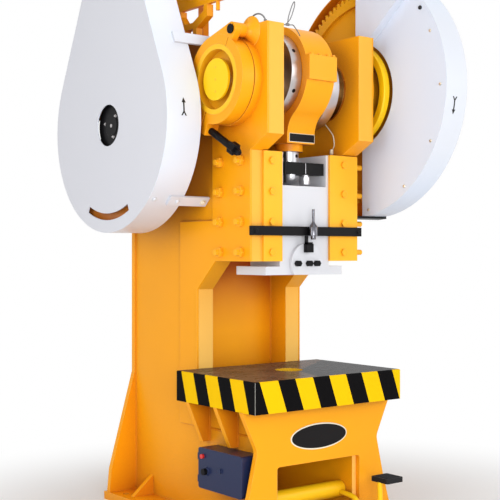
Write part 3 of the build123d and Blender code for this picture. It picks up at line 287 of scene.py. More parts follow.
# Painted shade: the throat's web darkens towards its top.
dress(enamel("web_enamel", web_amber, amber_shade, amber_highlight, shade_heights=web_shade_heights), "throat_web")

# Welds of the frame: fillet beads laid by hand along the seams of the plates, rippled, under the enamel.
# They run at the foot plates, the rear plate, the ribs, the throat's web and round the doubler plates.
bead_radius = 0.006
bead_step = 0.011
bead_ripple = 0.16
rib_places = (0.0, 0.25)
rib_half = 0.015
rib_foot = 0.432
doubler_back = 0.508
doubler_foot = 0.5
doubler_step = 1.613
doubler_head_back = 0.199


def swept(made, route, radius, sides=8, ripple=0.0):
    """Adds a round bar along a route of points. Ripple makes every other ring thicker, as in a weld."""
    points = [Vector(point) for point in route]
    last = len(points) - 1
    side = (points[1] - points[0]).orthogonal()
    rings = []
    for index, point in enumerate(points):
        ahead = (points[min(index + 1, last)] - points[max(index - 1, 0)]).normalized()
        side = (side - ahead * side.dot(ahead)).normalized()
        up = ahead.cross(side)
        size = radius * (1 + ripple * (index % 2))
        turns = [2 * pi * step / sides for step in range(sides)]
        spokes = [side * cos(turn) + up * sin(turn) for turn in turns]
        rings.append([made.verts.new(point + spoke * size) for spoke in spokes])
    for one, other in zip(rings, rings[1:]):
        for step in range(sides):
            ahead = (step + 1) % sides
            made.faces.new((one[step], one[ahead], other[ahead], other[step]))
    made.faces.new(rings[0])
    made.faces.new(rings[-1])


def add_piece(name, made, material, body):
    """Turns a finished mesh into a piece of the press: smooth, painted and riding a body."""
    mesh = bpy.data.meshes.new(name)
    bmesh.ops.recalc_face_normals(made, faces=made.faces)
    made.to_mesh(mesh)
    made.free()
    mesh.shade_smooth()
    mesh.set_sharp_from_angle(angle=radians(35))
    mesh.materials.append(material)
    piece = link_object(bpy.data.objects.new(name, mesh))
    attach(piece, body)
    return piece


wall_low, wall_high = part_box("side_plate_right")
inner, outer, head_top = wall_low.x, wall_high.x, wall_high.z
floor_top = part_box("foot_plates")[1].z
rear_low, rear_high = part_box("rear_plate")
front_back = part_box("base_front_plate")[1].y
table_low, table_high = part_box("bolster_plate")
bed_top = table_low.z
throat_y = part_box("throat_web")[0].y
throat_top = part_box("gib_right")[0].z
made = bmesh.new()
for side in (-1, 1):
    seams = [
        ((outer, front_back, floor_top), (outer, rear_low.y, floor_top)),
        ((outer, rear_low.y, floor_top), (outer, rear_low.y, rear_high.z)),
        ((outer, front_back, floor_top), (outer, front_back, bed_top)),
        ((inner, throat_y, table_high.z), (inner, throat_y, throat_top)),
        ((outer, front_back, doubler_foot), (outer, doubler_back, doubler_foot)),
        ((outer, doubler_back, doubler_foot), (outer, doubler_back, doubler_step)),
        ((outer, doubler_back, doubler_step), (outer, doubler_head_back, doubler_step)),
        ((outer, doubler_head_back, doubler_step), (outer, doubler_head_back, head_top)),
    ]
    for place in rib_places:
        for edge in (place - rib_half, place + rib_half):
            seams.append(((outer, edge, rib_foot), (outer, edge, bed_top)))
    for seam in seams:
        one, other = (Vector((side * x, y, z)) for x, y, z in seam)
        steps = max(2, round((other - one).length / bead_step))
        bead = [one.lerp(other, step / steps) for step in range(steps + 1)]
        swept(made, bead, bead_radius, 6, bead_ripple)
seam_paint = enamel("seam_enamel", (226, 140, 12), (160, 70, 10), (240, 172, 60), roundness=0.001)
add_piece("frame_welds", made, seam_paint, "frame")

# Bolster: a planed steel plate with a drop hole, black with oil, with a painted brown reflection of the
# amber frame on its left.
# Its three open edges carry yellow and black tape, laid on the slant.
stripe_yellow = (240, 192, 14)
stripe_black = (18, 17, 18)
oiled_steel = (26, 24, 24)
# Two browns of the painted reflection of the frame in the top:
reflection_pale = (112, 92, 76)
reflection_deep = (80, 64, 54)
corner_grey = (150, 148, 142)
hole_yellow = (222, 176, 40)
hole_edge = 0.078
bolster_shine = 0.015
front_pitch = 0.228
front_start = 0.027
front_lean = 0.057
side_pitch = 0.216
side_start = 0.044
side_lean = 0.049
stripe_share = 0.51
corner_width = 0.0012
reflection_corner = (0.0016, -0.0627)
reflection_slants = ((0.58, 0.815), (1.0, 0.3))
reflection_blur = 0.012
steel_rough = 0.24
tape_rough = 0.14
grain_rough = 0.08

low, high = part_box("bolster_plate")
material, shader, start = finish("striped_bolster", {"Specular IOR Level": bolster_shine})
place = start.node("TexCoord", output="Object")
x, y, z = (start.node("SeparateXYZ", {}, {0: place}, axis) for axis in "XYZ")
facing = start.node("NewGeometry", output="Normal")
across, along, upward = (start.node("SeparateXYZ", {}, {0: facing}, axis) for axis in "XYZ")
depth = (high.z - z) / (high.z - low.z)
front_way = (x - low.x - front_start - depth * front_lean) / front_pitch
side_way = (high.y - y - side_start - depth * side_lean) / side_pitch
on_side = across.math("ABSOLUTE", across) > 0.5
on_front = along < -0.5
way = front_way * (1 - on_side) + side_way * on_side
taped = way.math("FRACT", way) < stripe_share
tape = tint(taped, linear(stripe_black), linear(stripe_yellow))
# A thin grey line runs up the plate's left front corner.
near_corner = ((x - low.x) < corner_width) * ((y - low.y) < corner_width * 3)
tape = tint(near_corner, tape, linear(corner_grey))
# Painted reflection: a brown patch on the top's left, bounded by two slants, stands for the amber frame
# seen in the steel.
past = x - reflection_corner[0]
behind = y - reflection_corner[1]
front_reflection_edge, back_reflection_edge = (span(past * a - behind * b, -reflection_blur, reflection_blur) for a, b in reflection_slants)
outside_reflection = front_reflection_edge * back_reflection_edge
painted_reflection = tint(span(noise(place, 9.0, 4.0), 0.35, 0.7), linear(reflection_pale), linear(reflection_deep))
top = tint(outside_reflection, painted_reflection, linear(oiled_steel))
edge_on = on_front.math("MAXIMUM", on_front, on_side)
reach = x.math("SQRT", x * x + y * y)
hole = (reach < hole_edge) * (upward < 0.5)
tint(hole, tint(edge_on, top, tape), linear(hole_yellow)).feed(shader, "Base Color")
rough = edge_on * tape_rough + steel_rough + noise(place, 30.0) * grain_rough
rough.feed(shader, "Roughness")
dress(material, "bolster_plate")

# Name plate on the base front: a blank oval of pressed sheet metal, black enamel within a cream rim.
# It lies flat on the front plate under the middle of the bolster and is riveted there.
oval_place = (-0.004, 0.487)
oval_half = (0.194, 0.068)
oval_rim = 0.007
oval_thickness = 0.003
oval_round = 0.001
oval_lift = 0.0004


def turned(made, outline, place, way, steps=24, stretch=(1.0, 1.0)):
    """Adds a turned shape: outline gives pairs of radius and height, from the foot up, on an axis."""
    stand = Matrix.Translation(Vector(place)) @ Vector(way).to_track_quat("Z", "Y").to_matrix().to_4x4()
    turns = [2 * pi * (step + 0.5) / steps for step in range(steps)]
    rings = []
    for radius, height in outline:
        wide, deep = radius * stretch[0], radius * stretch[1]
        ring = [Vector((wide * cos(turn), deep * sin(turn), height)) for turn in turns]
        rings.append([made.verts.new(stand @ point) for point in ring])
    for lower, upper in zip(rings, rings[1:]):
        for step in range(steps):
            ahead = (step + 1) % steps
            made.faces.new((lower[step], lower[ahead], upper[ahead], upper[step]))
    made.faces.new(rings[0])
    made.faces.new(rings[-1])


cream_paint = enamel("cream_enamel", (236, 228, 206), (190, 180, 150), (244, 240, 226), roundness=0.001)
plate_black = enamel("black_plate", (26, 24, 25), (18, 17, 18), (60, 58, 58), shine=0.1, roundness=0.001)
front_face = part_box("base_front_plate")[0].y
oval_at = (oval_place[0], front_face, oval_place[1])
half = oval_half[1]
rim = [(half, 0.0), (half, oval_thickness * 0.7), (half - oval_round, oval_thickness)]
made = bmesh.new()
turned(made, rim, oval_at, (0, -1, 0), 72, (oval_half[0] / half, 1.0))
add_piece("oval_plate_rim", made, cream_paint, "frame")
inside = half - oval_rim
within = ((oval_half[0] - oval_rim) / inside, 1.0)
made = bmesh.new()
turned(made, [(inside, 0.0), (inside, oval_thickness + oval_lift)], oval_at, (0, -1, 0), 72, within)
add_piece("oval_plate", made, plate_black, "frame")

# Guides: planed steel gibs behind cover plates that carry the slide, with hexagon bolts through both.
# Their amber is painted paler for the front light on them, and the bolts carry painted shade close round
# them.
# The setting screws on the right stand out further than those on the left.
guide_lit_paint = enamel("guide_lit_enamel", (254, 182, 34), (214, 128, 20), (255, 216, 132))
bolt_lit_shaded_paint = enamel(
    "bolt_lit_shaded_enamel", (252, 178, 30), (150, 70, 8), (255, 216, 132), roundness=0.002, reach=0.05
)
dress(guide_lit_paint, "gib_covers", "gib_left", "gib_right")
dress(bolt_lit_shaded_paint, "gib_bolts")
setting_rows = (1.445, 1.603, 1.761, 1.919)
setting_depth = -0.055
setting_end = 0.480
setting_radius = 0.015
setting_chamfer = 0.002
setting_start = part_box("gib_bolts")[1].x
length = setting_end - setting_start
rod = [
    (setting_radius, -setting_chamfer),
    (setting_radius, length - setting_chamfer),
    (setting_radius - setting_chamfer, length),
]
made = bmesh.new()
for height in setting_rows:
    turned(made, rod, (setting_start, setting_depth, height), (1, 0, 0), 20)
add_piece("setting_screw_ends", made, bolt_lit_shaded_paint, "frame")

# Slide: a planed casting in white enamel, with its round clamp plate, three studs and a square set screw.
# A flat black catch reaches from the set screw's block up to the knockout bar.
catch_left = -0.037
catch_width = 0.017
catch_thickness = 0.010
catch_lap = 0.004
catch_foot = 0.008
catch_inset = 0.006
catch_gap = 0.001


def slab(made, low, high):
    """Adds a plain box between two corners."""
    size = [b - a for a, b in zip(low, high)]
    middle = [(a + b) / 2 for a, b in zip(low, high)]
    bmesh.ops.create_cube(made, size=1, matrix=Matrix.Translation(middle) @ Matrix.Diagonal((*size, 1)))


black_steel = enamel(
    "black_steel", (18, 17, 19), (11, 11, 12), (78, 78, 84), gloss=0.36, shine=0.1, roundness=0.0015
)
slide_paint = enamel("slide_enamel", (210, 211, 216), (198, 199, 205), (226, 226, 230), gloss=0.3)
dress(slide_paint, "ram", "shank_cap")
dress(black_steel, "shank_nuts", "set_screw")
screw_low, screw_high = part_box("set_screw")
bar_low, bar_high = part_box("knockout_bar")
corner = (catch_left, screw_low.y, screw_high.z - catch_lap)
back = screw_low.y + catch_thickness
made = bmesh.new()
slab(made, corner, (catch_left + catch_width, back, bar_low.z - catch_gap))
slab(made, corner, (screw_high.x - catch_inset, back, screw_high.z + catch_foot))
add_piece("set_screw_catch", made, black_steel, "ram")

# Knockout bar: a flat bar of blackened steel across the front of the guides, with a bolt at each end.
# Its stop is a turned steel spindle, thick at the foot and thin above.
dress(black_steel, "knockout_bar")
bolt_inset = 0.026
bolt_radius = 0.011
bolt_height = 0.010


def bolt_head(made, place, way, radius, height, sides=6):
    """Adds a bolt head on a washer: a prism with a turned chamfer on top."""
    turned(made, [(radius * 1.35, 0.0), (radius * 1.35, height * 0.16)], place, way, 24)
    prism = [(radius, height * 0.16), (radius, height * 0.85), (radius * 0.86, height)]
    turned(made, prism, place, way, sides)


bar_middle = (bar_low.z + bar_high.z) / 2
made = bmesh.new()
for end in (bar_low.x + bolt_inset, bar_high.x - bolt_inset):
    bolt_head(made, (end, bar_low.y, bar_middle), (0, -1, 0), bolt_radius, bolt_height)
add_piece("knockout_bar_bolts", made, black_steel, "frame")


def steel(name, light, dark, rough=0.26, metal=1.0):
    """Turned or ground steel with a film of oil that dulls it here and there."""
    material, shader, start = finish(name, {"Metallic": metal})
    place = start.node("TexCoord", output="Object")
    rounded = start.node("Bevel", {"samples": 4}, {"Radius": 0.002})
    tint(span(noise(place, 4.0, 1.0), 0.3, 0.7), linear(light), linear(dark)).feed(shader, "Base Color")
    span(noise(place, 9.0, 1.0), 0.3, 0.7, rough - 0.02, rough + 0.04).feed(shader, "Roughness")
    rounded.feed(shader, "Normal")
    return material


spindle_steel = steel("spindle_steel", (132, 132, 138), (96, 96, 102), 0.26)
spindle_low, spindle_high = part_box("knockout_spindle")
length = spindle_high.z - spindle_low.z
spindle = [
    (0.012, 0.0), (0.014, 0.006), (0.014, 0.018), (0.024, 0.020), (0.024, 0.064), (0.022, 0.068),
    (0.018, 0.074), (0.008, 0.090), (0.007, 0.094), (0.007, length - 0.002), (0.005, length),
]
foot = ((spindle_low.x + spindle_high.x) / 2, (spindle_low.y + spindle_high.y) / 2, spindle_low.z)
made = bmesh.new()
turned(made, spindle, foot, (0, 0, 1), 28)
stop = add_piece("stop_spindle", made, spindle_steel, "frame")
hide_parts("knockout_spindle")

# Crankshaft: a forged and turned steel shaft with an eccentric between two discs, in bronze bushes.
# The discs' rims have sunk set screws, black with oil.
bright_steel = steel("turned_steel", (206, 202, 202), (180, 176, 176), 0.3)
bronze = steel("bronze", (196, 152, 84), (150, 108, 52))
dress(bright_steel, "crankshaft", "gear_cap", "motor_shaft")
dress(bronze, "crank_bushes", "pitman_bush")
disc_radius = 0.222
disc_middle = 0.1315
disc_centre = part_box("crankshaft")[1].z - disc_radius
sunk_angles = (28, 152, 208, 332)
sunk_depth = 0.004
sunk_screw = [(0.011, 0.0), (0.011, 0.0044), (0.009, 0.0048)]
made = bmesh.new()
for side in (-1, 1):
    for angle in sunk_angles:
        way = Vector((0, cos(radians(angle)), sin(radians(angle))))
        place = Vector((side * disc_middle, 0, disc_centre)) + way * (disc_radius - sunk_depth)
        turned(made, sunk_screw, place, way, 16)
add_piece("disc_set_screws", made, black_steel, "crank")

# Pitman: a cast arm in the frame's enamel that clasps the eccentric, with a block bolted on its front.
# A bare black plate with a pale edge is riveted to its stem.
dress(frame_paint, "pitman")
stem_front = -0.100
plate_half = 0.088
plate_low = 2.031
plate_high = 2.077
plate_rim = 0.0025
plate_shift = 0.006
edge_lift = 0.002
edge_sink = 0.001
black_lift = 0.0026
made = bmesh.new()
slab(
    made,
    (-plate_half + plate_shift, stem_front - edge_lift, plate_low),
    (plate_half + plate_shift, stem_front + edge_sink, plate_high),
)
add_piece("stem_plate_edge", made, cream_paint, "pitman")
made = bmesh.new()
slab(
    made,
    (-plate_half + plate_rim + plate_shift, stem_front - black_lift, plate_low + plate_rim),
    (plate_half - plate_rim + plate_shift, stem_front, plate_high - plate_rim),
)
add_piece("stem_plate", made, plate_black, "pitman")
block_top = 2.468
block_bolts = (-0.073, -0.018, 0.038, 0.078)
block_depth = -0.272
round_head = [(0.010, 0.0), (0.010, 0.008), (0.008, 0.010)]
made = bmesh.new()
for place in block_bolts:
    turned(made, round_head, (place, block_depth, block_top), (0, 0, 1), 18)
add_piece("strap_block_screws", made, frame_paint, "pitman")

# Adjusting screw: bright steel with four holes round it for a turning bar, held in a black split clamp.
# The clamp's gap shows as a bright line, and a nut and a dome nut hang under its bolts.
screw_bright = steel("screw_bright", (222, 222, 226), (198, 198, 202), 0.36, 0.75)
dress(black_steel, "screw_clamp")
dress(screw_bright, "adjusting_screw")
hole_height = 1.962
hole_radius = 0.0095
screw_radius = 0.052
hole_turn = 12
hole_mark = [(hole_radius, -0.004), (hole_radius, 0.0008)]
clamp_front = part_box("screw_clamp")[0].y
split_place = 0.005
split_half = 0.0014
split_depth = 0.002
split_lift = 0.0006
split_inset = 0.004
clamp_bottom = 1.857
clamp_top = 1.921
dome_place = (-0.070, -0.098)
stud_place = (0.027, -0.105)
# Black for the arrows and the plug, and painted shade for holes and openings, which are black discs.
black_and_hole_shade = enamel("black_and_hole_shade", (20, 19, 20), (12, 12, 12), (30, 30, 30), roundness=0.0005)
# Painted shade: each turning hole is a black disc on the screw.
made = bmesh.new()
for quarter in range(4):
    angle = radians(hole_turn + 90 * quarter)
    way = Vector((cos(angle), sin(angle), 0))
    turned(made, hole_mark, way * screw_radius + Vector((0, 0, hole_height)), way)
add_piece("turning_holes", made, black_and_hole_shade, "pitman")
made = bmesh.new()
slab(
    made,
    (split_place - split_half, clamp_front - split_lift, clamp_bottom + split_inset),
    (split_place + split_half, clamp_front + split_depth, clamp_top - split_inset),
)
dome = [(0.025, 0.0), (0.025, 0.014), (0.022, 0.024), (0.015, 0.031), (0.006, 0.034)]
stud = [(0.015, 0.0), (0.015, 0.012)]
nut = [(0.024, 0.012), (0.024, 0.048), (0.020, 0.053)]
turned(made, dome, (*dome_place, clamp_bottom), (0, 0, -1), 24)
turned(made, stud, (*stud_place, clamp_bottom), (0, 0, -1), 20)
turned(made, nut, (*stud_place, clamp_bottom), (0, 0, -1), 6)
add_piece("clamp_nuts", made, screw_bright, "pitman")

# Band brake: cast shoes in the frame's enamel, hinged on a sunk pin painted black for the shade of its
# hole, round a yellow drum.
# The drum's hub plate is brighter yellow and has small centre marks.
# A long stud with a star nut draws the shoes together.
yellow_paint = enamel("yellow_enamel", (250, 192, 30), (206, 130, 8), (255, 220, 110))
hub_yellow = enamel("hub_yellow", (252, 204, 8), (226, 166, 4), (255, 226, 90), gloss=0.4)
dress(frame_paint, "brake_shoe_front", "brake_shoe_rear")
dress(yellow_paint, "brake_drum")
dress(hub_yellow, "brake_hub_plate")
# Painted shade: the pin is black for the shade in its sunk hole; the stud and nut are black steel.
dress(black_steel, "brake_stud", "brake_nut", "brake_pin")
hub_low, hub_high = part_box("brake_hub_plate")
hub_centre = (hub_low.z + hub_high.z) / 2
mark_heights = (0.0, 0.062, -0.062)
centre_mark = [(0.007, -0.002), (0.007, 0.0006), (0.005, 0.001)]
made = bmesh.new()
for up in mark_heights:
    turned(made, centre_mark, (hub_low.x, 0.0, hub_centre + up), (-1, 0, 0), 16)
add_piece("hub_plate_marks", made, yellow_paint, "crank")
shoe_low, shoe_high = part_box("brake_shoe_rear")
doubler_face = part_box("side_doublers")[1].x
web_inset = 0.0004
arc_steps = 5
shoe_radius = 0.229
lug_radius = 0.036
pin_reach = 0.273
pin_angle = radians(119.6)
lean = acos((shoe_radius - lug_radius) / pin_reach)
pin_centre = Vector((0, pin_reach * cos(pin_angle), hub_centre + pin_reach * sin(pin_angle)))


def prism(made, corners, left, right):
    """Adds a flat plate across the press: its outline in depth and height, between two places."""
    ends = [[made.verts.new((x, *corner)) for corner in corners] for x in (left, right)]
    for one, other in zip(range(len(corners)), [*range(1, len(corners)), 0]):
        made.faces.new((ends[0][one], ends[0][other], ends[1][other], ends[1][one]))
    made.faces.new(ends[0])
    made.faces.new(ends[1])


tangent = pin_angle - lean
corners = [(pin_centre.y, pin_centre.z)]
corners.append((pin_centre.y + lug_radius * cos(tangent), pin_centre.z + lug_radius * sin(tangent)))
for step in range(arc_steps + 1):
    angle = tangent + (pin_angle - tangent) * step / arc_steps
    corners.append((shoe_radius * cos(angle), hub_centre + shoe_radius * sin(angle)))
shoulder = [(0.030, 0.0), (0.034, 0.012), (0.042, 0.026), (0.058, 0.038), (0.080, 0.048)]
shoulder_end = -doubler_face - shoulder[-1][1]
made = bmesh.new()
prism(made, corners, shoe_low.x + web_inset, shoe_high.x - web_inset)
turned(made, shoulder, (shoulder_end, pin_centre.y, pin_centre.z), (1, 0, 0), 32)
add_piece("brake_shoe_web", made, frame_paint, "frame")

# Gears: cast steel with machined involute teeth, in ochre enamel all over.
# A yellow collar with a steel ring in it stands round the main bearing, in the window of the gear's cover.
gear_paint = enamel("gear_enamel", (238, 172, 20), (176, 100, 8), (255, 206, 80))
dress(gear_paint, "bull_gear", "pinion")
collar_radius = 0.285
collar_bore = 0.240
collar_left = 0.440
collar_right = 0.478
collar_chamfer = 0.005
liner_bore = 0.222
liner_width = 0.022
liner_chamfer = 0.002
crank_height = hub_centre


def turned_ring(made, outer, bore, place, way, height, chamfer):
    """Adds a turned ring with chamfered edges on its open side."""
    section = [(bore, 0.0), (bore, height - chamfer), (bore + chamfer, height), (outer - chamfer, height)]
    section += [(outer, height - chamfer), (outer, 0.0), (bore, 0.0)]
    turned(made, section, place, way, 96)
    ends = [face for face in made.faces if len(face.verts) > 4]
    bmesh.ops.delete(made, geom=ends, context="FACES_ONLY")
    bmesh.ops.remove_doubles(made, verts=made.verts, dist=0.00001)


collar_at = (collar_right, 0, crank_height)
collar_width = collar_right - collar_left
made = bmesh.new()
turned_ring(made, collar_radius, collar_bore, collar_at, (-1, 0, 0), collar_width, collar_chamfer)
add_piece("bearing_collar", made, hub_yellow, "frame")
made = bmesh.new()
turned_ring(made, collar_bore, liner_bore, collar_at, (-1, 0, 0), liner_width, liner_chamfer)
add_piece("bearing_collar_liner", made, bright_steel, "frame")

# Gear cover: white sheet steel in front, folded into a flat box and fixed by small screws along its edge.
# A rubber plug closes the end of its raised ridge, and a plain black arrow shows the turn on its rim.
# The rear half is amber, and the flat bars that carry both are painted black for the shadow line under the
# cover's rim.
# Heights between which the covers' front faces get painted front light.
cover_front_light = (0.0, 1.0)
# Painted light: the gear cover's white is tinted faintly blue against the amber light the frame throws on
# it, and its front faces are painted lighter.
gear_white = enamel(
    "gear_cover_enamel", (214, 223, 238), (200, 209, 224), (215, 218, 225), gloss=0.34, shine=0.2,
    front_light_heights=cover_front_light,
)
dress(gear_white, "gear_guard")
dress(frame_paint, "gear_guard_rear")
# Painted shade: the bars are black for the shadow line along the cover's lower rim.
dress(black_steel, "gear_guard_bars")
cover_radius = 0.690
cover_face = 0.487
cover_centre = (0.0, crank_height)
screw_circle = 0.645
screw_drop = 0.014
screw_start = 152.8
screw_pitch = 26.8
screw_count = 5
cover_screw_radius = 0.0065
cover_screw_height = 0.005
plug_place = (-0.505, 2.745)
plug = [(0.011, 0.0), (0.011, 0.006), (0.008, 0.010), (0.003, 0.012)]
arrow_lift = 0.0006
arrow_length = 0.094
arrow_width = 0.0088
head_width = 0.026
head_length = 0.026
head_tip = 0.0008
tail_width = 0.026
tail_length = 0.022
tail_overlap = 0.6
cover_arrow_x = 0.556
cover_arrow_angle = 190.0


def rim_arrow(made, x, centre, radius, angle, turn):
    """Adds a flat arrow that lies on a round rim: its head, a shaft in short steps and a forked tail."""
    lifted = radius + arrow_lift

    def on_rim(way, across):
        bend = radians(angle) + turn * way / radius
        return made.verts.new((x + across, centre[0] + lifted * cos(bend), centre[1] + lifted * sin(bend)))

    def strip(rows):
        """Faces along the rim, through rows of a way along it, a left place and a right place."""
        rails = [(on_rim(way, left), on_rim(way, right)) for way, left, right in rows]
        for (a, b), (c, d) in zip(rails, rails[1:]):
            made.faces.new((a, b, d, c))

    half = arrow_length / 2
    thin = arrow_width / 2
    neck = half - head_length
    heel = -half + tail_length * tail_overlap
    strip([(heel + (neck - heel) * step / 6, -thin, thin) for step in range(7)])
    strip([(neck, -head_width / 2, head_width / 2), (half, -head_tip / 2, head_tip / 2)])
    for side in (-1, 1):
        outer_end = side * tail_width / 2
        strip([(-half, outer_end - thin, outer_end + thin), (-half + tail_length, -thin, thin)])


made = bmesh.new()
rim_arrow(made, cover_arrow_x, cover_centre, cover_radius, cover_arrow_angle, 1)
add_piece("gear_cover_arrow", made, black_and_hole_shade, "frame")
screw_middle = crank_height - screw_drop
made = bmesh.new()
for index in range(screw_count):
    angle = radians(screw_start + screw_pitch * index)
    spot = (cover_face, screw_circle * cos(angle), screw_middle + screw_circle * sin(angle))
    bolt_head(made, spot, (-1, 0, 0), cover_screw_radius, cover_screw_height)
screw_steel = steel("screw_steel", (232, 226, 210), (204, 196, 176), 0.34)
add_piece("gear_cover_screws", made, screw_steel, "frame")
made = bmesh.new()
turned(made, plug, (cover_face, *plug_place), (-1, 0, 0))
add_piece("gear_cover_plug", made, black_and_hole_shade, "frame")

# Flywheel drive: a cast flywheel, amber on its rim and black with oil at its hub, on a steel countershaft.
# Three bolts hold the hub's end plate.
rim_amber = (214, 132, 44)
rim_worn = (178, 96, 26)
hub_black = (30, 28, 28)
hub_edge = 0.16
flywheel_low, flywheel_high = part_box("flywheel")
shaft_centre = ((flywheel_low.y + flywheel_high.y) / 2, (flywheel_low.z + flywheel_high.z) / 2)
material, shader, start = finish("flywheel_finish", {"Specular IOR Level": 0.3})
place = start.node("TexCoord", output="Object")
y, z = (start.node("SeparateXYZ", {}, {0: place}, axis) for axis in "YZ")
behind, above = y - shaft_centre[0], z - shaft_centre[1]
away = y.math("SQRT", behind * behind + above * above)
rim_paint = tint(span(noise(place, 5.0, 3.0), 0.3, 0.7), linear(rim_amber), linear(rim_worn))
tint(away < hub_edge, rim_paint, linear(hub_black)).feed(shader, "Base Color")
span(noise(place, 12.0), 0.3, 0.7, 0.3, 0.45).feed(shader, "Roughness")
dress(material, "flywheel")
dress(black_steel, "countershaft", "countershaft_bearings", "motor_pulley")
shaft_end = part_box("countershaft")[0].x
cap_radius = 0.136
cap_face = shaft_end + 0.003
cap_chamfer = 0.003
cap_bolt_circle = 0.066
cap_bolt_angles = (12, 132, 252)
cap_bolt_radius = 0.007
cap_bolt_height = 0.008
shaft_mark = [(0.010, -0.001), (0.010, 0.001), (0.007, 0.002)]
height = flywheel_low.x - cap_face
cap = [(cap_radius, 0.0), (cap_radius, height - cap_chamfer), (cap_radius - cap_chamfer, height)]
made = bmesh.new()
turned(made, cap, (flywheel_low.x, *shaft_centre), (-1, 0, 0), 48)
add_piece("hub_end_plate", made, black_steel, "countershaft")
made = bmesh.new()
for angle in cap_bolt_angles:
    across, up = cap_bolt_circle * cos(radians(angle)), cap_bolt_circle * sin(radians(angle))
    spot = (cap_face, shaft_centre[0] + across, shaft_centre[1] + up)
    bolt_head(made, spot, (-1, 0, 0), cap_bolt_radius, cap_bolt_height)
turned(made, shaft_mark, (shaft_end, *shaft_centre), (-1, 0, 0), 20)
add_piece("hub_bolts", made, bright_steel, "countershaft")

# Belts: three V-belts, each an endless loop of moulded black rubber.
# They are drawn tight from the motor's pulley to the grooves of the flywheel.
rubber = enamel("belt_rubber", (30, 30, 32), (20, 20, 22), (44, 44, 46), gloss=0.6, shine=0.2)
dress(rubber, "v_belts")

# Belt cover: white sheet steel folded to a drop shape, on flat white bars bolted to the frame.
# Round rivets hold the bars to its rim, which carries a plain black arrow for the turn.
# Painted light: front faces of the belt cover and its bars are painted a lighter, bluer white for the
# front light on them.
belt_paint = enamel(
    "belt_cover_enamel", (213, 214, 221), (184, 188, 198), (222, 231, 244), gloss=0.3, front_light_heights=cover_front_light
)
white_paint = enamel("white_enamel", (214, 215, 220), (176, 178, 186), (228, 228, 232), gloss=0.3)
dress(belt_paint, "belt_guard", "guard_bars")
cover_rim = 0.590
bar_thickness = 0.012
bar_angle = 225.4
rivet_places = ((-0.687, cover_rim), (-0.551, cover_rim + bar_thickness))
bar_bolt_x = -0.388
bar_bolt_radius = 0.013
bar_bolt_height = 0.013
belt_arrow_x = -0.622
belt_arrow_angle = 175.1
made = bmesh.new()
rim_arrow(made, belt_arrow_x, shaft_centre, cover_rim, belt_arrow_angle, -1)
add_piece("belt_cover_arrow", made, black_and_hole_shade, "frame")
out = Vector((0, cos(radians(bar_angle)), sin(radians(bar_angle))))
middle = Vector((0, *shaft_centre))
rivet = [(0.013, 0.0), (0.012, 0.004), (0.008, 0.008), (0.003, 0.0095)]
made = bmesh.new()
for x, height in rivet_places:
    turned(made, rivet, middle + out * height + Vector((x, 0, 0)), out, 20)
add_piece("belt_cover_rivets", made, white_paint, "frame")
made = bmesh.new()
spot = middle + out * (cover_rim + bar_thickness) + Vector((bar_bolt_x, 0, 0))
bolt_head(made, spot, out, bar_bolt_radius, bar_bolt_height)
add_piece("guard_bar_bolt", made, cream_paint, "frame")

# Motor: a finned cast housing with a sheet-metal fan cover, in blue-grey enamel.
# Four bolts hold its feet to the platform, and the fan draws air through rings of round openings.
motor_paint = enamel("motor_enamel", (70, 90, 118), (44, 58, 80), (120, 138, 160))
dress(motor_paint, "motor_housing", "fan_cover")
motor_low, motor_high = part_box("motor_housing")
platform_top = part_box("motor_platform")[1].z
foot_thickness = 0.022
foot_inset = (0.070, 0.026)
foot_bolt_radius = 0.014
foot_bolt_height = 0.014
fan_rings = ((0.052, 10), (0.088, 16), (0.124, 22))
fan_opening = [(0.009, -0.001), (0.009, 0.0006)]
made = bmesh.new()
for x in (motor_low.x + foot_inset[0], motor_high.x - foot_inset[0]):
    for y in (motor_low.y + foot_inset[1], motor_high.y - foot_inset[1]):
        spot = (x, y, platform_top + foot_thickness)
        bolt_head(made, spot, (0, 0, 1), foot_bolt_radius, foot_bolt_height)
add_piece("motor_foot_bolts", made, bright_steel, "frame")
fan_low, fan_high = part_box("fan_cover")
fan_centre = ((fan_low.y + fan_high.y) / 2, (fan_low.z + fan_high.z) / 2)
# Painted shade: each opening is a black disc on the fan cover.
made = bmesh.new()
for ring, count in fan_rings:
    for step in range(count):
        angle = 2 * pi * step / count
        spot = (fan_high.x, fan_centre[0] + ring * cos(angle), fan_centre[1] + ring * sin(angle))
        turned(made, fan_opening, spot, (1, 0, 0), 14)
add_piece("fan_openings", made, black_and_hole_shade, "frame")

# Control box: a pressed sheet box in navy enamel with a red lamp, a black button and a round lock.
# Two barrel hinges carry its door.
panel_paint = enamel("navy_enamel", (32, 42, 76), (20, 26, 50), (92, 102, 140), gloss=0.3)
lamp_red = enamel("lamp_red", (214, 34, 30), (150, 16, 16), (244, 130, 120), gloss=0.16, shine=0.5)
dress(panel_paint, "control_box", "panel_door")
dress(lamp_red, "panel_lamp")
dress(black_steel, "panel_button")
door_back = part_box("panel_door")[1].y
door_face = 0.4713
barrel_sink = 0.005
barrel_gap = 0.004
barrel_heights = (0.237, 0.354)
barrel = [(0.005, 0.0), (0.006, 0.001), (0.006, 0.035), (0.005, 0.036)]
made = bmesh.new()
for height in barrel_heights:
    foot = (-door_face + barrel_sink, door_back + barrel_gap, height)
    turned(made, barrel, foot, (0, 0, 1), 16)
add_piece("door_hinges", made, panel_paint, "panel_door")

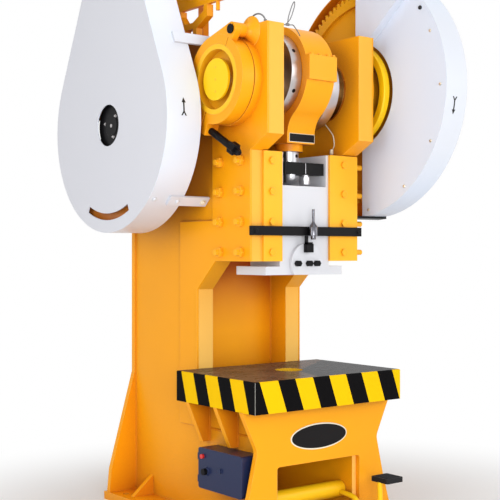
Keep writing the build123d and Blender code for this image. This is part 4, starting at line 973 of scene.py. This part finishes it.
# Foot pedal: a yellow tube across the base, a lever of bent round bar and a tread of ribbed black rubber.
# The bar dips in front of the window, turns to the right and rises under the tread.
pedal_yellow = enamel("pedal_yellow", (252, 200, 20), (214, 150, 8), (255, 224, 110))
dress(pedal_yellow, "pedal_shaft")
dress(rubber, "pedal_pad")
tread_low, tread_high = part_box("pedal_pad")
lever_radius = 0.014
lever_x = 0.225
post_x = 0.303
post_depth = -0.388
lever_dip = 0.098
tube_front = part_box("pedal_shaft")[0].y


def curve(points, steps=10):
    """Points of a smooth line through the given ones."""
    line = [Vector(point) for point in points]
    line = [2 * line[0] - line[1], *line, 2 * line[-1] - line[-2]]
    smooth = []
    for a, b, c, d in zip(line, line[1:], line[2:], line[3:]):
        for step in range(steps):
            t = step / steps
            point = 2 * b + (c - a) * t + (2 * a - 5 * b + 4 * c - d) * t**2
            smooth.append(0.5 * (point + (3 * b - a - 3 * c + d) * t**3))
    return smooth + [line[-2]]


route = [
    (lever_x, tube_front + 0.02, 0.150), (lever_x, -0.265, 0.140), (lever_x, -0.315, 0.108),
    (lever_x + 0.018, post_depth + 0.012, lever_dip), (post_x - 0.022, post_depth, lever_dip),
    (post_x, post_depth, lever_dip + 0.022), (post_x, post_depth, tread_low.z + 0.002),
]
made = bmesh.new()
swept(made, curve(route), lever_radius, 16)
lever = add_piece("pedal_bar", made, pedal_yellow, "pedal")
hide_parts("pedal_lever")
rib_count = 7
rib_radius = 0.0035
rib_margin = 0.012
made = bmesh.new()
for index in range(rib_count):
    y = tread_low.y + (tread_high.y - tread_low.y) * (index + 1) / (rib_count + 1)
    ends = [(x, y, tread_high.z) for x in (tread_low.x + rib_margin, tread_high.x - rib_margin)]
    swept(made, ends, rib_radius, 10)
add_piece("tread_ribs", made, rubber, "pedal")

# Oil pipes: thin bright tubes over the crank's bearings, with one loop above the left cheek.
# A pale tube runs down the right cheek's inner side to a small fitting.
pipe_radius = 0.0026
tube_radius = 0.0028
clip_places = ((-0.236, -0.266, 2.602), (-0.226, -0.256, 2.604), (-0.214, -0.252, 2.606))
clip_way = (1, 0.6, 0.1)
clip = [(0.004, -0.006), (0.007, -0.004), (0.007, 0.004), (0.004, 0.006)]
fitting_place = (0.252, -0.064, 1.996)
fitting = [(0.008, -0.014), (0.010, -0.010), (0.010, 0.010), (0.007, 0.014)]
pipe_grey = enamel("pipe_grey", (120, 120, 122), (84, 84, 86), (160, 160, 162), roundness=0.0005)
dress(pipe_grey, "grease_pipes")
loop = [
    (-0.264, -0.262, 2.603), (-0.238, -0.268, 2.601), (-0.232, -0.277, 2.645), (-0.224, -0.290, 2.690),
    (-0.216, -0.297, 2.712), (-0.206, -0.292, 2.712), (-0.200, -0.282, 2.692), (-0.206, -0.262, 2.640),
    (-0.222, -0.250, 2.606), (-0.190, -0.258, 2.606), (-0.160, -0.238, 2.602), (-0.124, -0.216, 2.592),
    (-0.088, -0.196, 2.572),
]
made = bmesh.new()
swept(made, curve(loop), pipe_radius, 8)
for place in clip_places:
    turned(made, clip, place, clip_way, 12)
add_piece("oil_pipe_loop", made, pipe_grey, "frame")
fall = [
    (0.254, 0.008, 2.172), (0.254, -0.025, 2.138), (0.254, -0.058, 2.105), (0.254, -0.076, 2.079),
    (0.254, -0.083, 2.032), (0.254, -0.067, 2.005),
]
made = bmesh.new()
swept(made, curve(fall), tube_radius, 10)
turned(made, fitting, fitting_place, (0, 0, 1), 12)
add_piece("oil_pipe_right", made, cream_paint, "frame")
